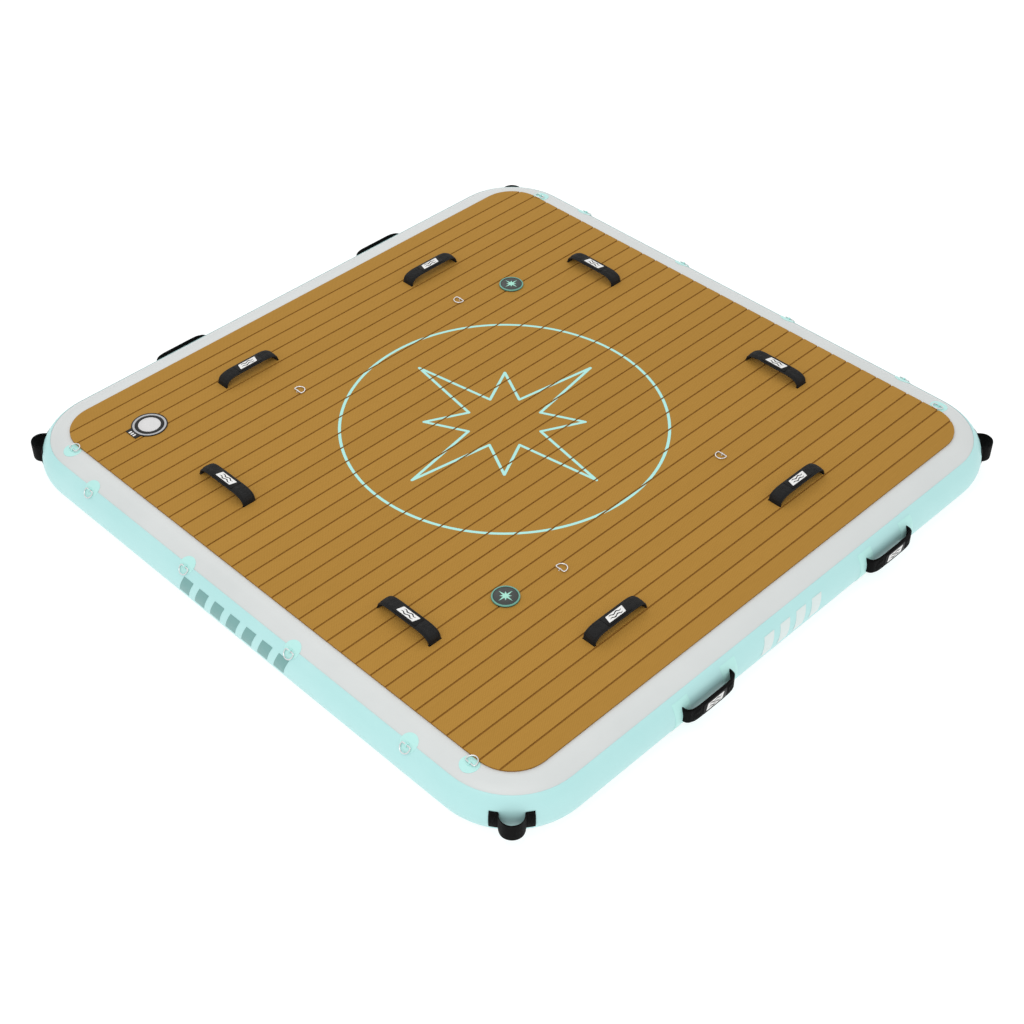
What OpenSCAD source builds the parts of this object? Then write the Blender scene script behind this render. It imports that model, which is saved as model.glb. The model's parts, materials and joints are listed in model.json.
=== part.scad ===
// Inflatable floating dock: a square drop-stitch hull with a planked foam deck, grab handles,
// corner loops, D-rings, an inflation valve and two magnetic docking discs.
// Origin: centre of the footprint at the lowest face. +X runs along the planks, +Z is up. Millimetres.

/* [Hull] */
// Overall width and length of the inflated hull
hull_w = 2388; // [1900:1:3000]
// Inflated thickness of the hull, across its round edge
hull_t = 178; // [145:1:220]
// Radius of the hull's corners, seen from above
hull_corner_r = 270; // [225:1:340]
// Thickness of the coated fabric sheets and walls
fabric_t = 1.2; // [0.9:0.1:1.6]
// Glue line between stacked layers of fabric
glue_gap = 0.25; // [0.2:0.05:0.4]
// Angle up the round edge at which a sheet meets the side wall
seam_angle = 53; // [45:1:60]
// How far each sheet runs on under the side wall, as an angle round the edge
lap_angle = 10; // [6:1:14]
// Rows of thread that tie the two sheets together
thread_rows = 13; // [7:2:21]
// Thickness of one row of thread
thread_t = 0.8; // [0.5:0.1:1.5]

/* [Deck pad] */
// Bare border of hull around the deck pad
pad_margin = 114.5; // [100:0.5:150]
// Radius of the pad's corners
pad_corner_r = 130; // [80:1:180]
// Thickness of the dark foam layer that shows in the grooves
pad_base_t = 3; // [2.4:0.1:5]
// Thickness of the foam planks
plank_t = 3; // [2.4:0.1:5]
// Number of planks across the deck
plank_count = 34; // [20:2:44]
// Width of the groove between two planks
groove_w = 6; // [3:0.5:9]

/* [Deck graphic] */
// Radius of the inlaid circle, at the middle of its line
graphic_r = 551; // [450:1:600]
// How far the graphic's centre lies from the deck's centre
graphic_offset = 35; // [0:1:40]
// Width of the inlaid lines
inlay_w = 10; // [6:1:14]
// Depth of the inlaid lines
inlay_t = 0.8; // [0.5:0.1:1.5]
// Reach of the compass star's long points
star_long_r = 420; // [300:1:430]
// Reach of the compass star's short points
star_short_r = 270; // [200:1:290]
// Distance of the compass star's inner corners from its centre
star_inner_r = 130; // [80:1:150]
// Gap round an inlaid piece or a part let into the foam
inlay_fit = 0.3; // [0.2:0.05:0.5]

/* [Deck handles] */
// Length of a deck handle, from foot to foot
deck_handle_len = 232; // [190:1:280]
// Height of a deck handle's top above the pad
deck_handle_rise = 35; // [29:1:45]
// Distance of a handle from the middle of its side of the deck
deck_handle_spread = 430; // [350:1:480]
// Distance from the edge of the pad to a handle's centre line
deck_handle_inset = 219.5; // [180:0.5:265]
// Width of the webbing of the deck handles
strap_w = 50; // [42:1:60]
// Thickness of the padded handle straps
strap_t = 8; // [6:0.5:10]
// Half the length of the flat middle of a handle
strap_flat = 52; // [46:1:60]
// Length of the anchor patch under a handle's foot
anchor_len = 70; // [50:1:80]
// Thickness of an anchor patch
anchor_t = 0.8; // [0.5:0.1:1.2]
// Margin of an anchor patch beside the strap
anchor_margin = 14; // [8:1:20]

/* [Side handles] */
// Length of a side handle, from foot to foot
side_handle_len = 222; // [185:1:270]
// How far a side handle stands off the wall
side_handle_rise = 30; // [25:1:45]
// Thickness of the padded side handle strap
side_strap_t = 12; // [8:0.5:14]
// Width of the padded side handle strap
side_strap_w = 56; // [46:1:67]
// How far the side handles sit above the wall's middle
side_handle_lift = 10; // [0:1:14]
// Places of the two handles along the front wall
front_handle_x = [-396, 478]; // [-600:1:600]
// Places of the two handles along the back wall
back_handle_x = [-470, 470]; // [-600:1:600]
// Width of the patch that a side handle's foot is sewn to
handle_patch_w = 66; // [50:1:76]
// Half the angle that a handle patch covers round the edge
handle_patch_angle = 40; // [30:1:44]
// Size of a handle badge along the handle
badge_len = 86; // [60:1:90]
// Size of a handle badge across the strap
badge_w = 28; // [20:1:34]
// Thickness of a badge
badge_t = 0.8; // [0.5:0.1:1.5]

/* [Corner loops] */
// Width of a corner loop, across its two legs
loop_w = 78; // [60:1:94]
// How far a corner loop stands off the hull
loop_reach = 39; // [32:1:60]
// Thickness of the loop's webbing
webbing_t = 2.6; // [2:0.1:3.5]
// Width of the loop's webbing
loop_webbing_w = 63; // [50:1:76]
// How far the loops sit above the wall's middle
loop_lift = 3.5; // [0:0.5:8]
// Length of the tab at each side of a corner loop
loop_tab = 24; // [18:1:40]

/* [D-rings] */
// Overall width of a D-ring, along its bar
ring_w = 40; // [34:1:50]
// Overall depth of a D-ring
ring_depth = 30; // [26:1:36]
// Diameter of the D-ring's wire
ring_wire_d = 4; // [3:0.5:5]
// Clearance round the bar and under a ring at rest
ring_clear = 0.3; // [0.2:0.05:0.4]
// Width of the webbing keeper over the bar
keeper_w = 16; // [12:1:20]
// Length of the keeper's base on its patch
keeper_len = 18; // [14:1:22]
// Thickness of the keeper's webbing
keeper_t = 1; // [0.8:0.1:1.4]
// Radius of a D-ring's round patch
patch_r = 30; // [26:1:36]
// Thickness of a patch
patch_t = 1; // [0.7:0.1:1.4]
// Distance from the hull's side to the middle of a corner ring's bar
corner_ring_inset = 91; // [88:1:95]
// Distance from the hull's end to the middle of a corner ring's bar
corner_ring_end_inset = 254; // [230:1:280]
// Distance from the hull's end to the outermost side ring
side_ring_inset = 439; // [380:1:480]
// Angle up the round edge of the middle of a side ring's patch
side_patch_angle = 52; // [46:1:56]
// Angle up the round edge of a side ring's bar
side_ring_angle = 47; // [42:1:50]
// How far a side ring leans in, past the tangent, to rest near the wall
side_ring_tuck = 6; // [4:1:7]
// Distance of a deck ring's bar from the middle of the deck
deck_ring_x = 384; // [340:1:420]
// Distance from the pad's back edge to the back deck rings
back_ring_inset = 429.5; // [380:0.5:480]
// Distance from the pad's front edge to the front deck rings
front_ring_inset = 489.5; // [440:0.5:520]

/* [Valve] */
// Distance from the pad's left edge to the valve
valve_inset_x = 229.5; // [190:0.5:260]
// Distance from the pad's back edge to the valve
valve_inset_y = 218.5; // [190:0.5:260]
// Radius of the socket that takes the pump fitting
socket_r = 31; // [29:0.5:32]
// Depth of the socket
socket_depth = 12; // [10:0.5:13]
// Radius of the valve chamber below the socket
chamber_r = 28; // [25:0.5:28.5]
// Outer radius of the valve body's tube
valve_tube_r = 35; // [34:0.5:36]
// Length of the valve body below the deck sheet
valve_tube_len = 45; // [43:1:55]
// Outer radius of the valve body's flange
valve_flange_r = 57; // [55:0.5:58]
// Thickness of the valve body's flange
valve_flange_t = 3; // [2.5:0.1:4]
// Inner radius of the grey bezel
bezel_in_r = 48; // [47.5:0.5:50]
// Height of the bezel above the flange
bezel_t = 5.5; // [4.5:0.1:7]
// Outer radius of the rubber tether ring
tether_r = 60.5; // [60:0.5:62]
// Reach of the tether's pull tab from the valve's centre
tab_reach = 77; // [70:1:84]
// Width of the pull tab
tab_w = 52; // [40:1:60]
// Thickness of the pull tab
tab_t = 3; // [2:0.1:4]
// Radius of the visible top of the cap
cap_r = 38.5; // [37:0.5:39]
// Outer radius of the backing nut
nut_r = 50; // [45:1:55]
// Thickness of the backing nut
nut_t = 10; // [6:1:14]
// Travel of the valve stem
stem_travel = 6; // [4:0.5:6]

/* [Docking discs] */
// Radius of a docking disc
disc_r = 44; // [38:1:50]
// Height of a docking disc above the pad
disc_rise = 6; // [4:0.5:9]
// Radius of the disc's printed face
disc_face_r = 38; // [32:1:39]
// Radius of the magnet inside
magnet_r = 24; // [18:1:27]
// Distances from the pad's sides to the back disc
back_disc_inset = [498.5, 494.5]; // [440:0.5:540]
// Distances from the pad's sides to the front disc
front_disc_inset = [495.5, 522.5]; // [440:0.5:540]

/* [Wall graphics] */
// Height of the slanted bars printed on the walls
bar_h = 60; // [40:1:66]
// Bare wall between the bars and the ring patches above them
bar_gap = 3.75; // [1:0.25:8]
// Width of one slanted bar
bar_w = 46; // [30:1:60]
// Spacing of the slanted bars
bar_pitch = 76; // [64:1:90]
// How far a bar leans over
bar_slant = 22; // [0:1:30]
// Bars on the left wall
left_bars = 7; // [3:2:9]
// Bars on the front wall
front_bars = 4; // [2:1:5]

/* [Hidden] */
DECK_HANDLES = 8;
SIDE_HANDLES = 4;
CORNERS = 4;
SIDE_RINGS = 8;
RINGS_PER_SIDE = 4;
$fn = 96;

// Heights and radii of the fabric layers round the edge
wall_r = hull_t / 2;
sheet_r = wall_r - fabric_t - glue_gap;
inner_wall_r = sheet_r - fabric_t - glue_gap;
mid_z = sheet_r;
deck_z = mid_z + sheet_r;
edge_half = hull_w / 2 - wall_r;
edge_corner_r = hull_corner_r - wall_r;
corner_c = hull_w / 2 - hull_corner_r;
inner_wall_angle = seam_angle + lap_angle;
overcut = 1;
// Deck pad
pad_w = hull_w - 2 * pad_margin;
pad_half = pad_w / 2;
pad_t = pad_base_t + plank_t;
pad_top = deck_z + pad_t;
plank_pitch = pad_w / plank_count;
// Handles
handle_line = pad_half - deck_handle_inset;
// D-rings
wire_r = ring_wire_d / 2;
ring_half = ring_w / 2 - wire_r;
ring_leg = ring_depth - ring_w / 2 - wire_r;
keeper_r = wire_r + ring_clear;
bar_lift = keeper_r + keeper_t + ring_clear;
side_bar_r = wall_r + glue_gap + patch_t + bar_lift;
corner_bar_x = hull_w / 2 - corner_ring_inset;
corner_bar_y = hull_w / 2 - corner_ring_end_inset;
corner_bar_z = deck_z + glue_gap + patch_t + bar_lift;
corner_ring_rise = pad_top + wire_r + 2 * ring_clear - corner_bar_z;
corner_ring_tilt = atan(corner_ring_rise / (corner_bar_x - pad_half));
side_ring_end = hull_w / 2 - side_ring_inset;
side_ring_pitch = 2 * side_ring_end / (RINGS_PER_SIDE - 1);
// Valve
valve_x = valve_inset_x - pad_half;
valve_y = pad_half - valve_inset_y;
flange_top = deck_z + valve_flange_t;
cap_gap = 0.3;
cap_lip = 4.5;
cap_lip_t = 1.5;
cap_lip_z = flange_top + 1.8;
cap_top_z = cap_lip_z + 4.7;
swivel_r = bezel_in_r - 2 * cap_gap;
swivel_lip_z = cap_lip_z + cap_lip_t + cap_gap;
swivel_t = 2.5;
gasket_in_r = socket_r + 1;
gasket_w = 4;
seat_z = deck_z - 35;
seat_t = 3;
seat_r = 18;
spider_z = seat_z + seat_t + 3;
spider_t = 3;
spoke_w = 4;
stem_r = 3;
stem_boss_r = 6;
stem_head_r = 9;
stem_head_t = 2.5;
stem_fit = 0.08;
spring_wire_r = 0.7;
spring_r = 5.2;
spring_turns = 4;
spring_slack = 2.4;
spring_len = stem_travel + 2 * spring_turns * spring_wire_r + spring_slack;
stem_head_z = spider_z + spider_t + spring_len;
seal_r = 22;
seal_t = 3;
seal_plate_t = 1.7;
// Corner loops
loop_half = loop_w / 2;
loop_c = hull_corner_r + loop_reach - loop_half;
loop_in = asin((loop_half - webbing_t) / hull_corner_r);
loop_out = asin(loop_half / hull_corner_r) + loop_tab / hull_corner_r * 180 / PI;
// Wall graphics
print_t = 0.3;
side_patch_r = wall_r + glue_gap;
side_patch_low = mid_z + side_patch_r * sin(side_patch_angle - asin(patch_r / side_patch_r));
bar_base = side_patch_low - bar_gap - bar_h;
// Docking discs
disc_floor = 1.5;
disc_face_t = 2.5;
disc_places = [[pad_half - back_disc_inset[0], pad_half - back_disc_inset[1]],
               [front_disc_inset[0] - pad_half, front_disc_inset[1] - pad_half]];

// Colours
grey_fabric = [0.85, 0.86, 0.86];
mint_fabric = [0.68, 0.91, 0.90];
patch_mint = [0.77, 0.93, 0.91];
dark_foam = [0.42, 0.27, 0.10];
plank_foam = [0.68, 0.51, 0.22];
black_webbing = [0.09, 0.09, 0.09];
white_print = [0.90, 0.90, 0.89];
steel = [0.78, 0.79, 0.80];
slate_print = [0.47, 0.66, 0.66];

// --- Plain shapes ---

module rounded_square(side, r) {
    square([side - 2 * r, side], center = true);
    square([side, side - 2 * r], center = true);
    for (x = [-1, 1], y = [-1, 1])
        translate([x * (side / 2 - r), y * (side / 2 - r)])
            circle(r);
}

module ring_sector(r_out, r_in, from, to) {
    far = 2 * r_out;
    middle = (from + to) / 2;
    intersection() {
        difference() {
            circle(r_out);
            circle(r_in);
        }
        polygon([[0, 0],
                 far * [cos(from), sin(from)],
                 far * [cos(middle), sin(middle)],
                 far * [cos(to), sin(to)]]);
    }
}

module tube(r_out, r_in, h) {
    difference() {
        cylinder(r = r_out, h = h);
        translate([0, 0, -overcut])
            cylinder(r = r_in, h = h + 2 * overcut);
    }
}

// Sweeps a profile round the hull's edge; the profile's x is the distance out from the edge's mid line
module around_hull() {
    for (side = [0:3])
        rotate(90 * side) {
            translate([edge_half, corner_c, mid_z])
                rotate([90, 0, 0])
                    linear_extrude(2 * corner_c)
                        children();
            translate([corner_c, corner_c, mid_z])
                rotate_extrude(angle = 90)
                    translate([edge_corner_r, 0])
                        children();
        }
}

// A flat layer inside the round edge, from the mid line inwards
module flat_layer(z, t) {
    translate([0, 0, z])
        linear_extrude(t)
            rounded_square(2 * edge_half, edge_corner_r);
}

// --- Hull ---

module top_sheet() {
    color(grey_fabric)
        difference() {
            union() {
                flat_layer(deck_z - fabric_t, fabric_t);
                around_hull()
                    ring_sector(sheet_r, sheet_r - fabric_t, seam_angle - lap_angle, 90);
            }
            translate([valve_x, valve_y, deck_z - wall_r])
                cylinder(r = valve_tube_r + inlay_fit, h = hull_t);
        }
}

module bottom_sheet() {
    color(grey_fabric) {
        flat_layer(0, fabric_t);
        around_hull()
            ring_sector(sheet_r, sheet_r - fabric_t, -90, lap_angle - seam_angle);
    }
}

module side_wall() {
    color(mint_fabric)
        around_hull()
            ring_sector(wall_r, wall_r - fabric_t, -seam_angle, seam_angle);
}

module inner_side_wall() {
    color(grey_fabric)
        around_hull()
            ring_sector(inner_wall_r, inner_wall_r - fabric_t, -inner_wall_angle, inner_wall_angle);
}

module drop_stitch_rows() {
    row_pitch = 2 * edge_half / (thread_rows + 1);
    color("white")
        difference() {
            translate([0, 0, fabric_t])
                linear_extrude(deck_z - 2 * fabric_t)
                    intersection() {
                        rounded_square(2 * (edge_half - fabric_t), edge_corner_r);
                        for (i = [1:thread_rows])
                            translate([0, i * row_pitch - edge_half])
                                square([2 * edge_half, thread_t], center = true);
                    }
            translate([valve_x, valve_y, deck_z / 3])
                cylinder(r = nut_r + overcut, h = deck_z);
        }
}

// --- Deck pad ---

module at_discs() {
    for (place = disc_places)
        translate(place)
            children();
}

// Handles 1 to 4 lie along the front and back, handles 5 to 8 along the left and right
module at_deck_handle(i) {
    across = floor((i - 1) / 4);
    far_side = ((i - 1) % 4) >= 2 ? 1 : -1;
    end = (i % 2 == 1) ? -1 : 1;
    rotate(90 * across)
        translate([end * deck_handle_spread, far_side * handle_line, 0])
            children();
}

module at_handle_feet() {
    for (i = [1:DECK_HANDLES])
        at_deck_handle(i)
            for (end = [-1, 1])
                translate([end * (deck_handle_len - strap_t) / 2, 0])
                    children();
}

module deck_openings() {
    translate([valve_x, valve_y])
        circle(tether_r + inlay_fit);
    at_discs()
        circle(disc_r + inlay_fit);
    at_handle_feet()
        square([strap_t + 2 * inlay_fit, strap_w + 2 * inlay_fit], center = true);
}

module deck_pad_base() {
    color(dark_foam)
        translate([0, 0, deck_z])
            difference() {
                linear_extrude(pad_base_t)
                    difference() {
                        rounded_square(pad_w, pad_corner_r);
                        deck_openings();
                    }
                translate([0, 0, -overcut])
                    linear_extrude(overcut + anchor_t + inlay_fit)
                        at_handle_feet()
                            square([anchor_len, strap_w + 2 * anchor_margin] + 2 * inlay_fit * [1, 1],
                                   center = true);
            }
}

module grooves() {
    for (i = [1:plank_count - 1])
        translate([0, i * plank_pitch - pad_half])
            square([pad_w + 2 * overcut, groove_w], center = true);
}

module stroke(from, to, width) {
    run = to - from;
    translate(from)
        rotate(atan2(run[1], run[0]))
            translate([0, -width / 2])
                square([norm(run), width]);
    translate(from)
        circle(width / 2);
}

function star_r(i) = i % 4 == 0 ? star_long_r : i % 4 == 2 ? star_short_r : star_inner_r;
function star_point(i) = star_r(i) * [cos(22.5 * i), sin(22.5 * i)];

// The inlaid circle and compass star, grown by a fit on each side of the line
module deck_graphic(fit) {
    width = inlay_w + 2 * fit;
    translate([0, graphic_offset]) {
        difference() {
            circle(graphic_r + width / 2);
            circle(graphic_r - width / 2);
        }
        for (i = [0:15])
            stroke(star_point(i), star_point(i + 1), width);
    }
}

module deck_planks() {
    color(plank_foam)
        translate([0, 0, deck_z + pad_base_t])
            difference() {
                linear_extrude(plank_t)
                    difference() {
                        rounded_square(pad_w, pad_corner_r);
                        grooves();
                        deck_openings();
                    }
                translate([0, 0, plank_t - inlay_t])
                    linear_extrude(inlay_t + overcut)
                        deck_graphic(inlay_fit);
            }
}

module deck_inlay() {
    color(patch_mint)
        translate([0, 0, pad_top - inlay_t])
            linear_extrude(inlay_t)
                difference() {
                    deck_graphic(0);
                    grooves();
                }
}

// --- Wall graphics ---

module slanted_bars(count) {
    first = -(count - 1) * bar_pitch / 2;
    for (i = [0:count - 1])
        translate([first + i * bar_pitch, bar_base])
            polygon([[-bar_w / 2 - bar_slant / 2, 0],
                     [bar_w / 2 - bar_slant / 2, 0],
                     [bar_w / 2 + bar_slant / 2, bar_h],
                     [-bar_w / 2 + bar_slant / 2, bar_h]]);
}

// Bars printed on the front wall; the caller turns them to another wall
module wall_print(count) {
    print_r = wall_r + glue_gap;
    intersection() {
        rotate([90, 0, 0])
            linear_extrude(hull_w)
                slanted_bars(count);
        translate([corner_c, -edge_half, mid_z])
            rotate([0, -90, 0])
                linear_extrude(2 * corner_c)
                    rotate(-90)
                        ring_sector(print_r + print_t, print_r, -seam_angle, seam_angle);
    }
}

module wall_graphics() {
    color(slate_print)
        rotate(-90)
            wall_print(left_bars);
    color(white_print)
        wall_print(front_bars);
}

// --- Handles ---

// Side view of a handle: a flat middle and ends that curve down to feet that run on below the face
function arch(half, rise, end) =
    [for (i = [0:12]) let (a = end > 0 ? 7.5 * i : 90 - 7.5 * i)
        [end * (strap_flat + (half - strap_flat) * cos(a)), rise * sin(a)]];

module strap_arch(len, rise, t, sink, width) {
    half = len / 2;
    translate([0, width / 2, 0])
        rotate([90, 0, 0])
            linear_extrude(width)
                difference() {
                    polygon(concat([[half, -sink]], arch(half, rise, 1), arch(half, rise, -1), [[-half, -sink]]));
                    polygon(concat([[half - t, -sink - overcut]],
                                   arch(half - t, rise - t, 1),
                                   arch(half - t, rise - t, -1),
                                   [[t - half, -sink - overcut]]));
                }
}

module deck_handle(i) {
    color(black_webbing)
        translate([0, 0, pad_top])
            at_deck_handle(i)
                strap_arch(deck_handle_len, deck_handle_rise, strap_t, pad_t - anchor_t, strap_w);
}

module deck_handle_badges() {
    color(white_print)
        translate([0, 0, pad_top + deck_handle_rise])
            linear_extrude(badge_t)
                for (i = [1:DECK_HANDLES])
                    at_deck_handle(i)
                        square([badge_len, badge_w], center = true);
}

module handle_anchors() {
    color(grey_fabric)
        translate([0, 0, deck_z])
            linear_extrude(anchor_t)
                at_handle_feet()
                    square([anchor_len, strap_w + 2 * anchor_margin], center = true);
}

// Side handles 1 and 2 are on the front wall, 3 and 4 on the back wall
module at_side_handle(i) {
    front = i <= 2;
    x = front ? front_handle_x[i - 1] : back_handle_x[i - 3];
    translate([x, 0, 0])
        rotate(front ? 0 : 180)
            translate([0, -hull_w / 2, mid_z])
                rotate([90, 0, 0])
                    children();
}

module along_wall(len) {
    translate([-len / 2, 0, -wall_r])
        rotate([0, 90, 0])
            children();
}

module side_handle(i) {
    color(black_webbing)
        at_side_handle(i)
            difference() {
                translate([0, side_handle_lift, 0])
                    strap_arch(side_handle_len, side_handle_rise, side_strap_t, wall_r / 4, side_strap_w);
                along_wall(side_handle_len + 2 * overcut)
                    cylinder(r = wall_r + patch_t + 2 * glue_gap, h = side_handle_len + 2 * overcut);
            }
}

module side_handle_badges() {
    color(white_print)
        for (i = [1:SIDE_HANDLES])
            at_side_handle(i)
                translate([0, side_handle_lift, side_handle_rise])
                    linear_extrude(badge_t)
                        square([badge_len, badge_w], center = true);
}

module side_handle_patches() {
    color(patch_mint)
        for (i = [1:SIDE_HANDLES])
            at_side_handle(i)
                for (end = [-1, 1])
                    translate([end * (side_handle_len - side_strap_t) / 2, 0, 0])
                        along_wall(handle_patch_w)
                            linear_extrude(handle_patch_w)
                                rotate(180)
                                    ring_sector(wall_r + glue_gap + patch_t, wall_r + glue_gap,
                                                -handle_patch_angle, handle_patch_angle);
}

// --- Corner loops ---

module corner_loop(i) {
    color(black_webbing)
        rotate(90 * i + 90)
            translate([corner_c, corner_c, mid_z + loop_lift - loop_webbing_w / 2])
                rotate(45)
                    linear_extrude(loop_webbing_w) {
                        difference() {
                            union() {
                                translate([loop_c, 0])
                                    circle(loop_half);
                                translate([loop_c / 2, -loop_half])
                                    square([loop_c / 2, loop_w]);
                            }
                            translate([loop_c, 0])
                                circle(loop_half - webbing_t);
                            translate([loop_c / 2 - overcut, webbing_t - loop_half])
                                square([loop_c / 2 + overcut, loop_w - 2 * webbing_t]);
                            circle(hull_corner_r + glue_gap);
                        }
                        for (side = [0, 1])
                            mirror([0, side])
                                ring_sector(hull_corner_r + glue_gap + webbing_t, hull_corner_r + glue_gap,
                                            loop_in, loop_out);
                    }
}

// --- D-rings ---

// The bar lies along Y through the origin and the ring reaches out along +X
module d_ring() {
    color(steel) {
        rotate([90, 0, 0])
            cylinder(r = wire_r, h = 2 * ring_half, center = true);
        for (side = [-1, 1])
            translate([0, side * ring_half, 0]) {
                sphere(wire_r);
                rotate([0, 90, 0])
                    cylinder(r = wire_r, h = ring_leg);
            }
        translate([ring_leg, 0, 0])
            rotate(-90)
                rotate_extrude(angle = 180)
                    translate([ring_half, 0])
                        circle(wire_r);
    }
}

module keeper() {
    rotate([90, 0, 0])
        linear_extrude(keeper_w, center = true)
            difference() {
                union() {
                    circle(keeper_r + keeper_t);
                    translate([-keeper_len / 2, -bar_lift])
                        square([keeper_len, keeper_t]);
                }
                circle(keeper_r);
            }
}

// Side rings 1 to 4 are on the right wall, 5 to 8 on the left wall
module at_side_ring(i, angle, radius) {
    side = i > RINGS_PER_SIDE ? 180 : 0;
    place = (i - 1) % RINGS_PER_SIDE;
    rotate(side)
        translate([edge_half, place * side_ring_pitch - side_ring_end, mid_z])
            rotate([0, 90 - angle, 0])
                translate([0, 0, radius])
                    children();
}

module at_corner_ring(i) {
    rotate(i > 2 ? 180 : 0)
        translate([corner_bar_x, (i % 2 == 1 ? -1 : 1) * corner_bar_y, 0])
            children();
}

// Deck rings 1 and 2 are on the right, 3 and 4 on the left
module at_deck_ring(i) {
    right = i <= 2;
    back = i % 2 == 0;
    y = back ? pad_half - back_ring_inset : front_ring_inset - pad_half;
    translate([right ? deck_ring_x : -deck_ring_x, y, pad_top + bar_lift])
        rotate(right ? 180 : 0)
            children();
}

module side_ring(i) {
    at_side_ring(i, side_ring_angle, side_bar_r)
        rotate([0, side_ring_tuck, 0])
            d_ring();
}

module corner_ring(i) {
    at_corner_ring(i)
        translate([0, 0, corner_bar_z])
            rotate([0, -corner_ring_tilt, 180])
                d_ring();
}

module deck_ring(i) {
    at_deck_ring(i)
        d_ring();
}

module ring_keepers() {
    color(patch_mint) {
        for (i = [1:SIDE_RINGS])
            at_side_ring(i, side_ring_angle, side_bar_r)
                keeper();
        for (i = [1:CORNERS])
            at_corner_ring(i)
                translate([0, 0, corner_bar_z])
                    keeper();
    }
    color(plank_foam)
        for (i = [1:CORNERS])
            at_deck_ring(i)
                keeper();
}

module ring_patches() {
    top_r = sheet_r + glue_gap;
    color(patch_mint) {
        intersection() {
            for (side = [0, 180])
                rotate(side)
                    translate([edge_half, corner_c, mid_z])
                        rotate([90, 0, 0])
                            linear_extrude(2 * corner_c)
                                ring_sector(side_patch_r + patch_t, side_patch_r, 0, 90);
            for (i = [1:SIDE_RINGS])
                at_side_ring(i, side_patch_angle, 0)
                    cylinder(r = patch_r, h = hull_t);
        }
        difference() {
            intersection() {
                union() {
                    flat_layer(deck_z + glue_gap, patch_t);
                    around_hull()
                        ring_sector(top_r + patch_t, top_r, seam_angle, 90);
                }
                for (i = [1:CORNERS])
                    at_corner_ring(i)
                        translate([0, 0, mid_z])
                            cylinder(r = patch_r, h = hull_t);
            }
            translate([0, 0, deck_z - overcut])
                linear_extrude(pad_t)
                    rounded_square(pad_w + 2 * inlay_fit, pad_corner_r);
        }
    }
}

// --- Valve ---

module at_valve() {
    translate([valve_x, valve_y, 0])
        children();
}

module valve_body() {
    tube_z = deck_z - valve_tube_len;
    color("dimgray")
        at_valve() {
            difference() {
                union() {
                    translate([0, 0, deck_z])
                        cylinder(r = valve_flange_r, h = valve_flange_t);
                    translate([0, 0, tube_z])
                        cylinder(r = valve_tube_r, h = flange_top - tube_z);
                }
                translate([0, 0, flange_top - socket_depth])
                    cylinder(r = socket_r, h = socket_depth + overcut);
                translate([0, 0, tube_z - overcut])
                    cylinder(r = chamber_r, h = flange_top - tube_z);
            }
            translate([0, 0, seat_z])
                tube(chamber_r + overcut, seat_r, seat_t);
            difference() {
                translate([0, 0, spider_z])
                    union() {
                        cylinder(r = stem_boss_r, h = spider_t);
                        for (i = [0:2])
                            rotate(120 * i)
                                translate([0, -spoke_w / 2, 0])
                                    cube([chamber_r + overcut, spoke_w, spider_t]);
                    }
                translate([0, 0, spider_z - overcut])
                    cylinder(r = stem_r + stem_fit, h = spider_t + 2 * overcut);
            }
        }
}

module valve_bezel() {
    color("silver")
        at_valve()
            translate([0, 0, flange_top])
                tube(valve_flange_r, bezel_in_r, bezel_t);
}

module valve_backing_nut() {
    color("dimgray")
        at_valve()
            translate([0, 0, deck_z - fabric_t - nut_t])
                tube(nut_r, valve_tube_r + inlay_fit, nut_t);
}

module valve_stem() {
    plate_z = seat_z - cap_gap - seal_t - seal_plate_t;
    color("white")
        at_valve() {
            translate([0, 0, plate_z])
                cylinder(r = stem_r, h = stem_head_z - plate_z);
            translate([0, 0, plate_z])
                cylinder(r = seal_r - seal_plate_t, h = seal_plate_t);
            translate([0, 0, stem_head_z])
                cylinder(r = stem_head_r, h = stem_head_t);
        }
}

module valve_seal() {
    color("black")
        at_valve()
            translate([0, 0, seat_z - cap_gap - seal_t])
                tube(seal_r, stem_r + cap_gap, seal_t);
}

// Points of a ring of the spring's wire, and the faces that join one ring to the next
function wire_ring(t, sides) =
    let (h = spring_len - 2 * spring_wire_r, a = 360 * spring_turns * t)
    [for (k = [0:sides - 1]) let (b = 360 * k / sides, r = spring_r + spring_wire_r * cos(b))
        [r * cos(a), r * sin(a), spring_wire_r * (1 + sin(b)) + h * t]];
function wire_faces(rings, sides) =
    concat([[for (k = [0:sides - 1]) k]],
           [for (j = [0:rings - 2], k = [0:sides - 1])
               let (a = j * sides + k, b = j * sides + (k + 1) % sides)
               [a, a + sides, b + sides, b]],
           [[for (k = [sides - 1:-1:0]) (rings - 1) * sides + k]]);

module valve_spring() {
    sides = 8;
    rings = 16 * spring_turns + 1;
    color("silver")
        at_valve()
            translate([0, 0, spider_z + spider_t])
                polyhedron([for (j = [0:rings - 1]) each wire_ring(j / (rings - 1), sides)],
                           wire_faces(rings, sides));
}

module valve_cap() {
    color("white")
        at_valve() {
            translate([0, 0, cap_lip_z])
                cylinder(r = cap_r + cap_lip, h = cap_lip_t);
            translate([0, 0, cap_lip_z])
                rotate_extrude()
                    polygon([[0, 0], [cap_r, 0], [cap_r, cap_top_z - cap_lip_z - 1],
                             [cap_r - 1, cap_top_z - cap_lip_z], [cap_r - 5, cap_top_z - cap_lip_z],
                             [cap_r - 6, cap_top_z - cap_lip_z - 0.6], [0, cap_top_z - cap_lip_z - 0.6]]);
        }
}

module cap_gasket() {
    color("black")
        at_valve()
            translate([0, 0, flange_top + cap_gap])
                tube(gasket_in_r + gasket_w, gasket_in_r, cap_lip_z - flange_top - cap_gap);
}

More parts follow.
